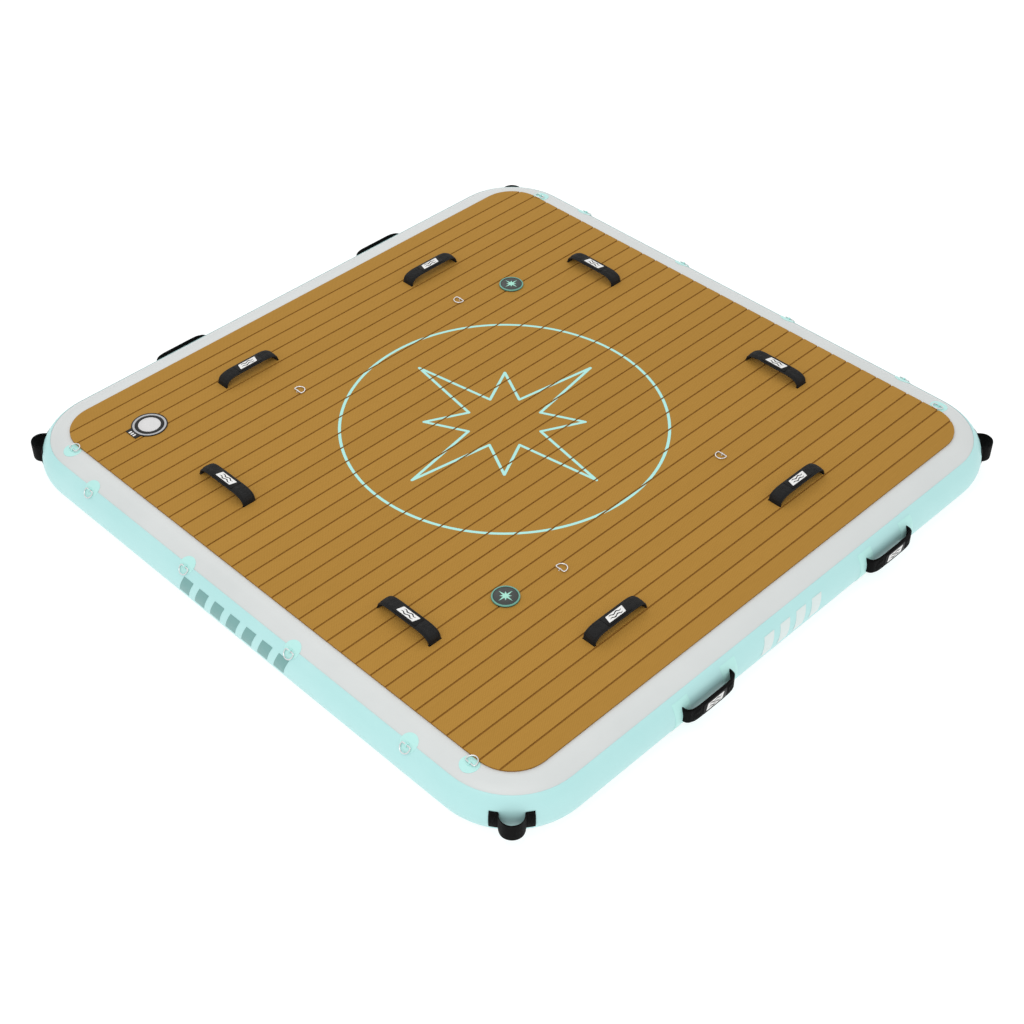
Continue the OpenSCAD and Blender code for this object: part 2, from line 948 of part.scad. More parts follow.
module cap_swivel() {
    color(black_webbing)
        at_valve() {
            translate([0, 0, swivel_lip_z])
                tube(swivel_r, cap_r + 2 * cap_gap, swivel_t);
            translate([0, 0, flange_top + cap_gap])
                tube(swivel_r, cap_r + cap_lip + 2 * cap_gap, swivel_lip_z - flange_top - cap_gap + overcut);
        }
}

module cap_tether() {
    ring_in = valve_flange_r + cap_gap;
    color(black_webbing)
        at_valve() {
            translate([0, 0, deck_z])
                tube(tether_r, ring_in, pad_t + tab_t);
            translate([0, 0, pad_top])
                difference() {
                    translate([-tab_reach, -tab_w / 2, 0])
                        cube([tab_reach, tab_w, tab_t]);
                    translate([0, 0, -overcut])
                        cylinder(r = ring_in, h = tab_t + 2 * overcut);
                }
        }
}

// --- Docking discs ---

module disc_housings() {
    color("dimgray")
        translate([0, 0, deck_z])
            at_discs()
                difference() {
                    cylinder(r = disc_r, h = pad_t + disc_rise);
                    translate([0, 0, disc_floor])
                        cylinder(r = magnet_r + inlay_fit, h = pad_t + disc_rise);
                    translate([0, 0, pad_t + disc_rise - disc_face_t])
                        cylinder(r = disc_face_r + inlay_fit, h = disc_face_t + overcut);
                }
}

module disc_magnets() {
    color("silver")
        translate([0, 0, deck_z + disc_floor])
            at_discs()
                cylinder(r = magnet_r, h = pad_t + disc_rise - disc_floor - disc_face_t - inlay_fit);
}

module disc_faces() {
    color(slate_print)
        translate([0, 0, pad_top + disc_rise - disc_face_t])
            at_discs()
                cylinder(r = disc_face_r, h = disc_face_t);
}

// --- Nodes ---

top_sheet();
bottom_sheet();
side_wall();
inner_side_wall();
drop_stitch_rows();
deck_pad_base();
deck_planks();
deck_inlay();
wall_graphics();
valve_body();
valve_bezel();
valve_backing_nut();
valve_stem();
valve_seal();
valve_spring();
valve_cap();
cap_gasket();
cap_swivel();
cap_tether();
disc_housings();
disc_magnets();
disc_faces();
handle_anchors();
deck_handle_badges();
side_handle_badges();
side_handle_patches();
ring_patches();
ring_keepers();
for (i = [1:DECK_HANDLES]) deck_handle(i);
for (i = [1:SIDE_HANDLES]) side_handle(i);
for (i = [1:CORNERS]) corner_loop(i);
for (i = [1:SIDE_RINGS]) side_ring(i);
for (i = [1:CORNERS]) corner_ring(i);
for (i = [1:CORNERS]) deck_ring(i);
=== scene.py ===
"""Looks of an inflatable floating dock: coated-fabric hull, foam plank deck, webbing handles and loops,
D-rings, an inflation valve and docking discs. Everything is in metres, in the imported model's frame."""

import json
import math

import bpy
from mathutils import Matrix, Vector


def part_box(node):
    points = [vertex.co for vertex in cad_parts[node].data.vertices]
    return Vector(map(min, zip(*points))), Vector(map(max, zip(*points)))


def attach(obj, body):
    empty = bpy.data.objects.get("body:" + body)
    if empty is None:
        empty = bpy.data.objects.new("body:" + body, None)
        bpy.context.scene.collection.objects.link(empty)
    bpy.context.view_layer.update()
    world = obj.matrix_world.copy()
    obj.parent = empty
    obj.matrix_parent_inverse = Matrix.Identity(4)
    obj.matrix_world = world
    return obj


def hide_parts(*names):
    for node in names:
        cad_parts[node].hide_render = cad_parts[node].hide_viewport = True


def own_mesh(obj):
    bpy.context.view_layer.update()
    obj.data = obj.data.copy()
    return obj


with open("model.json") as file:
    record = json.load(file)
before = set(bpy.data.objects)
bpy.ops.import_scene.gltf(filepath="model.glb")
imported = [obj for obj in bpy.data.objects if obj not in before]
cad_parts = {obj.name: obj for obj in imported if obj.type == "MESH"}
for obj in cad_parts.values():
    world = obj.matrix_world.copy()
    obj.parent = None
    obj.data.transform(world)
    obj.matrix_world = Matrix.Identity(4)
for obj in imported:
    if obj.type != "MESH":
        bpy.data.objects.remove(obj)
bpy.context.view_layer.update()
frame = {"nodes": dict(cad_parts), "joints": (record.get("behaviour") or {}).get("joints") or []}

MM = 0.001

# ---------------- sizes, from the frame or the real part

DOCK = "dock"
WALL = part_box("side_wall")
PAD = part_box("deck_planks")
SHEET_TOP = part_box("top_sheet")[1].z
PAD_TOP = PAD[1].z
PAD_HALF = PAD[1].x
HULL_HALF = WALL[1].x
MID_Z = (WALL[0].z + WALL[1].z) / 2
SHEET_R = SHEET_TOP - MID_Z           # round edge of the top and bottom sheets
WALL_R = 89 * MM                      # round edge of the side wall, a lap outside the sheets
FABRIC_T = 1.2 * MM
CORNER_R = 270 * MM                   # the hull's corners, seen from above
SEAM_ANGLE = 53                       # where the sheets meet the wall
LAP_ANGLE = 10                        # how far a sheet runs on under the wall
EDGE_HALF = HULL_HALF - WALL_R        # mid line of the round edge
CORNER_C = HULL_HALF - CORNER_R       # centres of the corners
EDGE_CORNER_R = CORNER_R - WALL_R
WEBBING_W = 50 * MM                   # webbing of the deck handles
LOOP_LIFT = 3.5 * MM                  # how far the corner loops sit above the wall's middle
PATCH_T = 1.0 * MM
GLUE = 0.25 * MM
WIRE_R = 2 * MM
BADGE_W = 100 * MM                    # the moulded plates on the handles
PLANK_PITCH = 63.5 * MM
PATCH_R = 30 * MM                     # round patches under the rings
PATCH_STEPS = 48                      # points round a patch

JOINT = {j["name"]: j for j in frame["joints"]}

# ---------------- materials


def linear(hex_colour):
    """An sRGB hex colour as linear red, green, blue and alpha."""
    parts = [int(hex_colour[k:k + 2], 16) / 255 for k in (0, 2, 4)]
    return [p / 12.92 if p <= 0.04045 else ((p + 0.055) / 1.055) ** 2.4 for p in parts] + [1.0]


def add(tree, kind, inputs=None, out=0, into=None, **settings):
    """Adds a node with its settings; an input takes a value or another node's output. Gives one output,
    which also feeds the sockets in into."""
    made = tree.nodes.new(kind)
    for name, value in settings.items():
        setattr(made, name, value)
    for name, value in (inputs or {}).items():
        if isinstance(value, bpy.types.NodeSocket):
            tree.links.new(value, made.inputs[name])
        else:
            made.inputs[name].default_value = value
    for socket in into or ():
        tree.links.new(made.outputs[out], socket)
    return made.outputs[out]


def blank(name, roughness, metallic=0.0, coat=0.0, sheen=0.0, ior=1.5, specular=0.5):
    """A new material: itself, its tree, its shader's inputs, and the piece's own coordinates in metres."""
    made = bpy.data.materials.new(name)
    made.use_nodes = True
    tree = made.node_tree
    skin = tree.nodes["Principled BSDF"].inputs
    skin["Roughness"].default_value = roughness
    skin["Metallic"].default_value = metallic
    skin["Coat Weight"].default_value = coat
    skin["Coat Roughness"].default_value = 0.25
    skin["Sheen Weight"].default_value = sheen
    skin["Sheen Roughness"].default_value = 0.5
    skin["IOR"].default_value = ior
    skin["Specular IOR Level"].default_value = specular
    return made, tree, skin, add(tree, "ShaderNodeTexCoord", out="Object")


def clamp(value):
    """A value kept between 0 and 1."""
    return min(1.0, max(0.0, value))


def per_cycle(length):
    """The scale that gives a wave texture one band in a real length."""
    return math.pi / (10 * length)


def coated_fabric(name, dark, light, roughness=0.42):
    """PVC-coated polyester, calendered: satin, with the base cloth telegraphing through as a fine grid and
    slow clouds in the tone. The real threads are 1 mm apart; the grid is drawn at 3 mm so that it shows."""
    made, tree, skin, place = blank(name, roughness, ior=1.53)
    clouds = add(tree, "ShaderNodeTexNoise", {"Vector": place, "Scale": 1 / (180 * MM), "Detail": 3.0})
    add(tree, "ShaderNodeMix", {0: clouds, 6: linear(dark), 7: linear(light)}, 2, [skin["Base Color"]],
        data_type="RGBA")
    add(tree, "ShaderNodeMapRange", {"Value": clouds, "To Min": roughness - 0.06, "To Max": roughness + 0.08},
        0, [skin["Roughness"]])
    warp = add(tree, "ShaderNodeTexWave", {"Vector": place, "Scale": per_cycle(3 * MM)}, 1,
               wave_type="BANDS", bands_direction="DIAGONAL", wave_profile="SIN")
    turned = add(tree, "ShaderNodeMapping", {"Vector": place, "Rotation": (0, 0, math.pi / 2)})
    weft = add(tree, "ShaderNodeTexWave", {"Vector": turned, "Scale": per_cycle(3 * MM)}, 1,
               wave_type="BANDS", bands_direction="DIAGONAL", wave_profile="SIN")
    grid = add(tree, "ShaderNodeMath", {0: warp, 1: weft}, operation="MULTIPLY")
    slack = add(tree, "ShaderNodeTexNoise", {"Vector": place, "Scale": 1 / (70 * MM), "Detail": 1.0})
    swell = add(tree, "ShaderNodeBump", {"Height": slack, "Distance": 1.2 * MM, "Strength": 0.35})
    add(tree, "ShaderNodeBump", {"Height": grid, "Distance": 0.06 * MM, "Strength": 0.5, "Normal": swell},
        0, [skin["Normal"]])
    return made


def plank_foam():
    """Closed-cell EVA, sanded and machine-hatched: matte, with a fine slanted hatch 5 mm apart, a long
    brushed grain, and sheets that differ a little from plank to plank."""
    made, tree, skin, place = blank("eva_foam_plank", 0.8, ior=1.45, specular=0.25)
    turned = add(tree, "ShaderNodeMapping", {"Vector": place, "Rotation": (0, 0, math.radians(38))})
    hatch = add(tree, "ShaderNodeTexWave", {"Vector": turned, "Scale": per_cycle(5 * MM), "Distortion": 0.4,
                                            "Detail": 1.0}, 1, wave_type="BANDS", bands_direction="X",
                wave_profile="SIN")
    drawn = add(tree, "ShaderNodeMapping", {"Vector": place, "Scale": (18.0, 360.0, 60.0)})
    grain = add(tree, "ShaderNodeTexNoise", {"Vector": drawn, "Scale": 1.0, "Detail": 4.0})
    pores = add(tree, "ShaderNodeTexNoise", {"Vector": place, "Scale": 1 / (1.5 * MM), "Detail": 2.0})
    across = add(tree, "ShaderNodeSeparateXYZ", {0: place}, 1)
    row = add(tree, "ShaderNodeMath", {0: across, 1: PLANK_PITCH}, operation="DIVIDE")
    plank = add(tree, "ShaderNodeMath", {0: row}, operation="FLOOR")
    batch = add(tree, "ShaderNodeTexWhiteNoise", {"W": plank}, 0, noise_dimensions="1D")
    streaked = add(tree, "ShaderNodeMath", {0: grain, 1: 0.5, 2: 0.1}, operation="MULTIPLY_ADD")
    hatched = add(tree, "ShaderNodeMath", {0: hatch, 1: 0.3, 2: streaked}, operation="MULTIPLY_ADD")
    tone = add(tree, "ShaderNodeMath", {0: batch, 1: 0.15, 2: hatched}, operation="MULTIPLY_ADD")
    add(tree, "ShaderNodeMix", {0: tone, 6: linear("9c722a"), 7: linear("b5873b")}, 2, [skin["Base Color"]],
        data_type="RGBA")
    add(tree, "ShaderNodeMapRange", {"Value": pores, "To Min": 0.72, "To Max": 0.9}, 0, [skin["Roughness"]])
    height = add(tree, "ShaderNodeMath", {0: pores, 1: 0.5, 2: hatch}, operation="MULTIPLY_ADD")
    add(tree, "ShaderNodeBump", {"Height": height, "Distance": 0.25 * MM, "Strength": 0.55}, 0,
        [skin["Normal"]])
    return made


def cut_foam(name, dark, light):
    """Closed-cell EVA, cut: open pores about 1.5 mm across, fully matte."""
    made, tree, skin, place = blank(name, 0.86, ior=1.45, specular=0.25)
    pores = add(tree, "ShaderNodeTexNoise", {"Vector": place, "Scale": 1 / (1.5 * MM), "Detail": 3.0})
    add(tree, "ShaderNodeMix", {0: pores, 6: linear(dark), 7: linear(light)}, 2, [skin["Base Color"]],
        data_type="RGBA")
    add(tree, "ShaderNodeBump", {"Height": pores, "Distance": 0.2 * MM, "Strength": 0.5}, 0, [skin["Normal"]])
    return made


def webbing(name, dark, light, rib=2.4, end=1.6, specular=0.2):
    """Woven nylon or polyester webbing: picks across the strap at the real rib spacing, ends along it,
    and a soft sheen on the crowns of the threads. The coordinates run along and across the strap."""
    made, tree, skin, _ = blank(name, 0.62, sheen=0.02, specular=specular)
    laid = add(tree, "ShaderNodeUVMap", uv_map="strap")
    ribs = add(tree, "ShaderNodeTexWave", {"Vector": laid, "Scale": per_cycle(rib * MM)}, 1,
               wave_type="BANDS", bands_direction="X", wave_profile="SIN")
    turned = add(tree, "ShaderNodeMapping", {"Vector": laid, "Rotation": (0, 0, math.pi / 2)})
    ends = add(tree, "ShaderNodeTexWave", {"Vector": turned, "Scale": per_cycle(end * MM)}, 1,
               wave_type="BANDS", bands_direction="X", wave_profile="SIN")
    weave = add(tree, "ShaderNodeMath", {0: ribs, 1: ends}, operation="MULTIPLY")
    fluff = add(tree, "ShaderNodeTexNoise", {"Vector": laid, "Scale": 1 / (0.9 * MM), "Detail": 2.0})
    worn = add(tree, "ShaderNodeMath", {0: fluff, 1: 0.35, 2: weave}, operation="MULTIPLY_ADD")
    add(tree, "ShaderNodeMix", {0: worn, 6: linear(dark), 7: linear(light)}, 2, [skin["Base Color"]],
        data_type="RGBA")
    add(tree, "ShaderNodeMapRange", {"Value": weave, "To Min": 0.72, "To Max": 0.52}, 0, [skin["Roughness"]])
    add(tree, "ShaderNodeBump", {"Height": weave, "Distance": 0.35 * MM, "Strength": 0.8}, 0,
        [skin["Normal"]])
    return made


def knit_neoprene(name, dark, light, specular):
    """Neoprene with a nylon jersey face, knitted: loops 1.2 mm apart and a soft sheen along the edges."""
    made, tree, skin, _ = blank(name, 0.7, sheen=0.02, specular=specular)
    laid = add(tree, "ShaderNodeUVMap", uv_map="strap")
    loops = add(tree, "ShaderNodeTexVoronoi", {"Vector": laid, "Scale": 1 / (1.2 * MM)}, 0, feature="F1")
    add(tree, "ShaderNodeMix", {0: loops, 6: linear(light), 7: linear(dark)}, 2, [skin["Base Color"]],
        data_type="RGBA")
    add(tree, "ShaderNodeMapRange", {"Value": loops, "To Min": 0.62, "To Max": 0.85}, 0, [skin["Roughness"]])
    knit = add(tree, "ShaderNodeMath", {0: 1.0, 1: loops}, operation="SUBTRACT")
    creases = add(tree, "ShaderNodeTexNoise", {"Vector": laid, "Scale": 1 / (14 * MM), "Detail": 2.0})
    soft = add(tree, "ShaderNodeBump", {"Height": creases, "Distance": 0.8 * MM, "Strength": 0.5})
    add(tree, "ShaderNodeBump", {"Height": knit, "Distance": 0.25 * MM, "Strength": 0.6, "Normal": soft}, 0,
        [skin["Normal"]])
    return made


def moulded(name, dark, light, roughness, coat=0.0, ior=1.5, grit=0.8, specular=0.5):
    """A moulding with the fine spark-eroded texture of its tool, at a grit in millimetres, and slow
    changes of gloss where hands have been."""
    made, tree, skin, place = blank(name, roughness, coat=coat, ior=ior, specular=specular)
    spark = add(tree, "ShaderNodeTexNoise", {"Vector": place, "Scale": 1 / (grit * MM), "Detail": 2.0})
    handled = add(tree, "ShaderNodeTexNoise", {"Vector": place, "Scale": 1 / (22 * MM), "Detail": 3.0})
    add(tree, "ShaderNodeMix", {0: spark, 6: linear(dark), 7: linear(light)}, 2, [skin["Base Color"]],
        data_type="RGBA")
    add(tree, "ShaderNodeMapRange", {"Value": handled, "From Min": 0.3, "From Max": 0.7,
                                     "To Min": roughness - 0.06, "To Max": roughness + 0.08}, 0,
        [skin["Roughness"]])
    add(tree, "ShaderNodeBump", {"Height": spark, "Distance": 0.06 * MM, "Strength": 0.35}, 0,
        [skin["Normal"]])
    return made


def bright_metal(name, dark, light, low, high):
    """Drawn rod or plated metal, tumbled: bright, with faint long scratches from handling."""
    made, tree, skin, place = blank(name, low, metallic=1.0)
    drawn = add(tree, "ShaderNodeMapping", {"Vector": place, "Scale": (160.0, 3600.0, 160.0)})
    scratch = add(tree, "ShaderNodeTexNoise", {"Vector": drawn, "Scale": 1.0, "Detail": 3.0})
    add(tree, "ShaderNodeMix", {0: scratch, 6: linear(dark), 7: linear(light)}, 2, [skin["Base Color"]],
        data_type="RGBA")
    add(tree, "ShaderNodeMapRange", {"Value": scratch, "To Min": low, "To Max": high}, 0, [skin["Roughness"]])
    return made


GREY_FABRIC = coated_fabric("pvc_coated_fabric_grey", "cfd3d2", "d9dcdb")
MINT_FABRIC = coated_fabric("pvc_coated_fabric_mint", "afe1e0", "bce7e6")
MINT_PATCH = coated_fabric("pvc_coated_patch_mint", "b3e9e3", "bdece7", 0.38)
ANCHOR_FABRIC = coated_fabric("pvc_coated_patch_brown", "4a3212", "5a3e18", 0.55)
INNER_FABRIC = coated_fabric("pvc_coated_inner_fabric", "b4b9b8", "c0c5c4", 0.55)
PLANK_FOAM = plank_foam()
DARK_FOAM = cut_foam("eva_foam_base_brown", "84591f", "966829")
INLAY_FOAM = cut_foam("eva_foam_inlay_mint", "a8e2d8", "bcf0e8")
BLACK_WEBBING = webbing("nylon_webbing_black", "080808", "1c1c1c")
# A darker copy of the black webbing with weaker reflection, for the corner loops and side handles on the
# upright walls: painted shade that stands in for the shade those parts get.
SHADED_BLACK_WEBBING = webbing("black_webbing_painted_shade", "030303", "0c0c0c", specular=0.06)
MINT_WEBBING = webbing("polyester_webbing_mint", "b4ece6", "c8f6f2", 1.6)
DECK_SLEEVE = knit_neoprene("knit_faced_neoprene_black", "141414", "242424", 0.2)
# The side handles' neoprene is a darker copy of the deck handles' neoprene with weaker reflection: painted
# shade for the handles on the upright walls.
SHADED_BLACK_SLEEVE = knit_neoprene("knit_faced_neoprene_painted_shade", "050505", "0e0e0e", 0.07)
BLACK_THREAD = moulded("polyester_thread_black", "1e1e1e", "2e2e2e", 0.55, grit=0.3, specular=0.25)
WHITE_THREAD = moulded("polyester_thread_white", "e2e2de", "f4f4f0", 0.7, grit=0.3)
BLACK_RUBBER = moulded("moulded_rubber_black", "101010", "181818", 0.5, specular=0.25)
SOFT_PVC_BLACK = moulded("soft_pvc_label_black", "0b0b0b", "121212", 0.42, specular=0.14)
SOFT_PVC_WHITE = moulded("soft_pvc_label_white", "e6e6e4", "f1f1ef", 0.42)
SLATE_INK = moulded("screen_printed_ink_slate", "6c9f9c", "78aaa7", 0.4)
WHITE_INK = moulded("screen_printed_ink_white", "d6e3e1", "e0ebe9", 0.4)
WHITE_NYLON = moulded("moulded_nylon_white", "cfcece", "d9d8d8", 0.36, coat=0.15)
GREY_NYLON = moulded("moulded_nylon_grey", "a9aaac", "b6b7b9", 0.34, coat=0.1)
DARK_NYLON = moulded("moulded_nylon_dark", "3a3e3c", "454947", 0.42, specular=0.25)
TEAL_PVC = moulded("soft_pvc_ring_teal", "5d9a89", "6ba897", 0.42)
MINT_PVC = moulded("soft_pvc_motif_mint", "9adcc6", "abe6d2", 0.42)
STEEL = bright_metal("tumbled_stainless_steel", "d9dadb", "f0f0f0", 0.2, 0.38)
NICKEL = bright_metal("nickel_plate", "a8aaac", "c2c4c6", 0.25, 0.4)

# ---------------- mesh helpers


def piece(name, points, faces, made_of, body=DOCK, replaces=()):
    """A smooth mesh piece in the model's frame that rides on a body and may stand for CAD nodes."""
    mesh = bpy.data.meshes.new(name)
    mesh.from_pydata([tuple(p) for p in points], [], [tuple(f) for f in faces])
    mesh.validate()
    mesh.update()
    mesh.shade_smooth()
    mesh.materials.append(made_of)
    made = bpy.data.objects.new(name, mesh)
    bpy.context.scene.collection.objects.link(made)
    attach(made, body)
    if replaces:
        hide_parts(*replaces)
    return made


def loft(rows, closed_along=False, closed_across=True, caps=True):
    """Faces and points that join rows of points, each row a loop across the piece."""
    width = len(rows[0])
    points = [p for row in rows for p in row]
    faces = []
    spans = len(rows) if closed_along else len(rows) - 1
    steps = width if closed_across else width - 1
    for j in range(spans):
        a, b = j * width, ((j + 1) % len(rows)) * width
        for k in range(steps):
            n = (k + 1) % width
            faces.append((a + k, a + n, b + n, b + k))
    if caps and not closed_along and closed_across:
        faces.append(tuple(range(width - 1, -1, -1)))
        last = (len(rows) - 1) * width
        faces.append(tuple(last + k for k in range(width)))
    return points, faces


def outline(distance, straight=20, turn=14):
    """The hull's outline at a distance out from the round edge's mid line."""
    found = []
    for side in range(4):
        spin = Matrix.Rotation(side * math.pi / 2, 2)
        for k in range(straight):
            found.append(spin @ Vector((EDGE_HALF + distance, -CORNER_C + 2 * CORNER_C * k / straight)))
        for k in range(turn):
            a = math.pi / 2 * k / turn
            way = Vector((math.cos(a), math.sin(a)))
            found.append(spin @ (Vector((CORNER_C, CORNER_C)) + way * (EDGE_CORNER_R + distance)))
    return found


def swept_hull(profile):
    """Rows of points that carry a profile of (distance out, height) round the hull."""
    return [[Vector((p.x, p.y, z)) for p in outline(distance)] for distance, z in profile]


def arc(radius, start, end, steps, centre=(0.0, 0.0)):
    """Points of an arc from start to end, in degrees."""
    return [(centre[0] + radius * math.cos(math.radians(start + (end - start) * k / steps)),
             centre[1] + radius * math.sin(math.radians(start + (end - start) * k / steps)))
            for k in range(steps + 1)]


def lathe(name, profile, centre, made_of, body=DOCK, replaces=(), steps=96, ring=True):
    """A turned piece about an upright axis; the profile is a list of (radius, height), which closes on
    itself in a ring and otherwise starts and ends in a flat disc."""
    rows = []
    for k in range(steps):
        a = 2 * math.pi * k / steps
        out = Vector((math.cos(a), math.sin(a), 0))
        rows.append([Vector((centre[0], centre[1], z)) + out * r for r, z in profile])
    points, faces = loft(rows, closed_along=True, closed_across=ring)
    if not ring:
        last = len(profile) - 1
        faces.append(tuple(k * len(profile) for k in range(steps - 1, -1, -1)))
        faces.append(tuple(k * len(profile) + last for k in range(steps)))
    return keep_edges(piece(name, points, faces, made_of, body, replaces), 50)


def keep_edges(made, angle=35):
    """Smooth shading that keeps edges sharper than an angle."""
    for polygon in made.data.polygons:
        polygon.use_smooth = True
    made.data.set_sharp_from_angle(angle=math.radians(angle))
    return made


def ease(made, width, segments=2, angle=40):
    """Rounds a piece's sharp edges by a real radius, as a moulding or a cut has."""
    bevel = made.modifiers.new("eased_edges", "BEVEL")
    bevel.width = width
    bevel.segments = segments
    bevel.limit_method = "ANGLE"
    bevel.angle_limit = math.radians(angle)
    bevel.harden_normals = True
    return made


def dress(node, made_of, edge=0.0):
    """Gives a CAD node its finish and, where it shows, eased edges."""
    shown = frame["nodes"][node]
    shown.data.materials.clear()
    shown.data.materials.append(made_of)
    if edge:
        weld = shown.modifiers.new("weld", "WELD")
        weld.merge_threshold = 0.01 * MM
        flat = shown.modifiers.new("flat_faces", "DECIMATE")
        flat.decimate_type = "DISSOLVE"
        flat.angle_limit = math.radians(1)
        ease(shown, edge)
    return shown


def with_ways(line, closed=False):
    """Each point of a flat line with the line's direction there."""
    last = len(line) - 1
    found = []
    for k, point in enumerate(line):
        before = line[k - 1] if closed else line[max(k - 1, 0)]
        after = line[(k + 1) % (last + 1)] if closed else line[min(k + 1, last)]
        found.append((Vector(point), Vector((after[0] - before[0], after[1] - before[1])).normalized()))
    return found


def along(path):
    """How far each point of a path of (point, normal) lies from its start."""
    lengths = [0.0]
    for (a, _), (b, _) in zip(path, path[1:]):
        lengths.append(lengths[-1] + (b - a).length)
    return lengths


def sweep(path, side, section, shift=None):
    """Carries a cross-section along a path: section(t) gives (across, out) points for a share t of the
    length, and shift(t, across, point) moves one. Gives points, faces and coordinates along and across."""
    lengths = along(path)
    rows, laid = [], []
    for (point, normal), walked in zip(path, lengths):
        t = walked / lengths[-1]
        row = []
        for v, out in section(t):
            moved = shift(t, v, point) if shift else Vector()
            row.append(point + side * v + normal * out + moved)
            laid.append((walked, v if out >= 0 else v + 0.1))
        rows.append(row)
    points, faces = loft(rows)
    return points, faces, laid


def strap_piece(name, points, faces, laid, made_of, replaces=()):
    """A swept piece with its coordinates along and across the strap."""
    made = piece(name, points, faces, made_of, replaces=replaces)
    layer = made.data.uv_layers.new(name="strap")
    for loop in made.data.loops:
        layer.data[loop.index].uv = laid[loop.vertex_index]
    return made


def flat_section(half_width, half_thickness, cuts=11):
    """The cross-section of flat webbing: a thin band with round selvedges."""
    top = []
    for m in range(cuts):
        u = -1 + 2 * m / (cuts - 1)
        u = math.copysign(abs(u) ** 0.8, u)
        rim = math.sqrt(max(0.0, 1 - max(0.0, (abs(u) - 0.93) / 0.07) ** 2))
        top.append((u * half_width, half_thickness * (0.4 + 0.6 * rim)))
    return top + [(v, -out) for v, out in reversed(top)]


def padded_section(half_width, half_thickness, piping, cuts=15):
    """The cross-section of a padded sleeve: crowned faces between two corded edges."""
    crease = half_width - 2 * piping
    top = []
    for m in range(cuts):
        v = crease * (-1 + 2 * m / (cuts - 1))
        crown = (1 - abs(v / crease) ** 3) ** 0.6
        top.append((v, 0.45 * piping + (half_thickness - 0.45 * piping) * crown))
    cord = arc(piping, 145, -145, 10, (half_width - piping, 0.0))
    other = [(-v, -out) for v, out in cord]
    return top + cord + [(v, -out) for v, out in reversed(top)] + other


def stitches(name, seams, made_of, length=2.6 * MM, gap=1.2 * MM, radius=0.35 * MM):
    """Rows of thread stitches that dive in and out along each seam, a list of (point, normal)."""
    points, faces = [], []
    for seam in seams:
        left = 0.0
        for (a, na), (b, nb) in zip(seam, seam[1:]):
            run = b - a
            if run.length < 1e-9:
                continue
            way = run.normalized()
            while left < run.length:
                normal = na.lerp(nb, left / run.length).normalized()
                side = way.cross(normal)
                centre = a + way * left
                first = len(points)
                for end in (-1, 1):
                    points.append(centre + way * (end * length / 2) - normal * radius)
                    for across, up in ((radius, 0), (0, radius), (-radius, 0), (0, -radius)):
                        points.append(centre + way * (end * length / 3.2) + side * across + normal * up)
                for k in range(4):
                    n = (k + 1) % 4
                    faces.append((first, first + 1 + n, first + 1 + k))
                    faces.append((first + 1 + k, first + 1 + n, first + 6 + n, first + 6 + k))
                    faces.append((first + 5, first + 6 + k, first + 6 + n))
                left += length + gap
            left -= run.length
    return piece(name, points, faces, made_of)


def plate(name, width, height, thickness, corner, place, made_of, lean=0.0, edge=0.3 * MM):
    """A thin plate with round corners; place turns its own x, y, z into the model's frame."""
    loop = []
    far_x, far_y = width / 2 - corner, height / 2 - corner
    for cx, cy, start in ((1, 1, 0), (-1, 1, 90), (-1, -1, 180), (1, -1, 270)):
        for x, y in arc(corner, start, start + 90, 6, (cx * far_x, cy * far_y)):
            loop.append((x + lean * y, y))
    rows = []
    for inset, z in ((0, 0), (0, thickness - edge), (edge * 0.3, thickness - edge * 0.3), (edge, thickness)):
        scale_x, scale_y = 1 - 2 * inset / width, 1 - 2 * inset / height
        rows.append([place @ Vector((x * scale_x, y * scale_y, z)) for x, y in loop])
    points, faces = loft(rows)
    return keep_edges(piece(name, points, faces, made_of), 50)


# ---------------- hull


def make_hull():
    """Top sheet, bottom sheet and side wall as thin shells that meet in lapped seams."""
    inner = SHEET_R - FABRIC_T
    cut_back = -0.12
    for name, sign in (("top_sheet", 1), ("bottom_sheet", -1)):
        outside = arc(SHEET_R, 90, SEAM_ANGLE - LAP_ANGLE, 16)
        inside = arc(inner, SEAM_ANGLE - LAP_ANGLE, 90, 16)
        profile = [(cut_back, SHEET_R)] + outside + inside + [(cut_back, inner)]
        rows = swept_hull([(d, MID_Z + sign * z) for d, z in profile])
        points, faces = loft(rows)
        if sign < 0:
            faces = [tuple(reversed(f)) for f in faces]
        shell = piece(name + "_skin", points, faces, GREY_FABRIC, replaces=(name,))
        keep_edges(shell, 40)
    lip = FABRIC_T / 2
    outside = arc(WALL_R, -SEAM_ANGLE, SEAM_ANGLE, 40)
    inside = arc(WALL_R - FABRIC_T, SEAM_ANGLE, -SEAM_ANGLE, 40)
    middle = WALL_R - lip
    nose = math.degrees(lip / middle)
    top_nose = arc(middle, SEAM_ANGLE + nose, SEAM_ANGLE + nose, 1)[:1]
    low_nose = arc(middle, -SEAM_ANGLE - nose, -SEAM_ANGLE - nose, 1)[:1]
    profile = outside + top_nose + inside + low_nose
    rows = swept_hull([(d, MID_Z + z) for d, z in profile])
    points, faces = loft(rows, closed_along=True)
    wall = piece("side_wall_skin", points, faces, MINT_FABRIC, replaces=("side_wall",))
    keep_edges(wall, 60)


# ---------------- deck


def make_deck():
    dress("deck_planks", PLANK_FOAM, 0.7 * MM)
    dress("deck_pad_base", DARK_FOAM)
    dress("deck_inlay", INLAY_FOAM, 0.15 * MM)
    dress("handle_anchors", ANCHOR_FABRIC)
    dress("inner_side_wall", INNER_FABRIC)
    dress("drop_stitch_rows", WHITE_THREAD)


# ---------------- handles


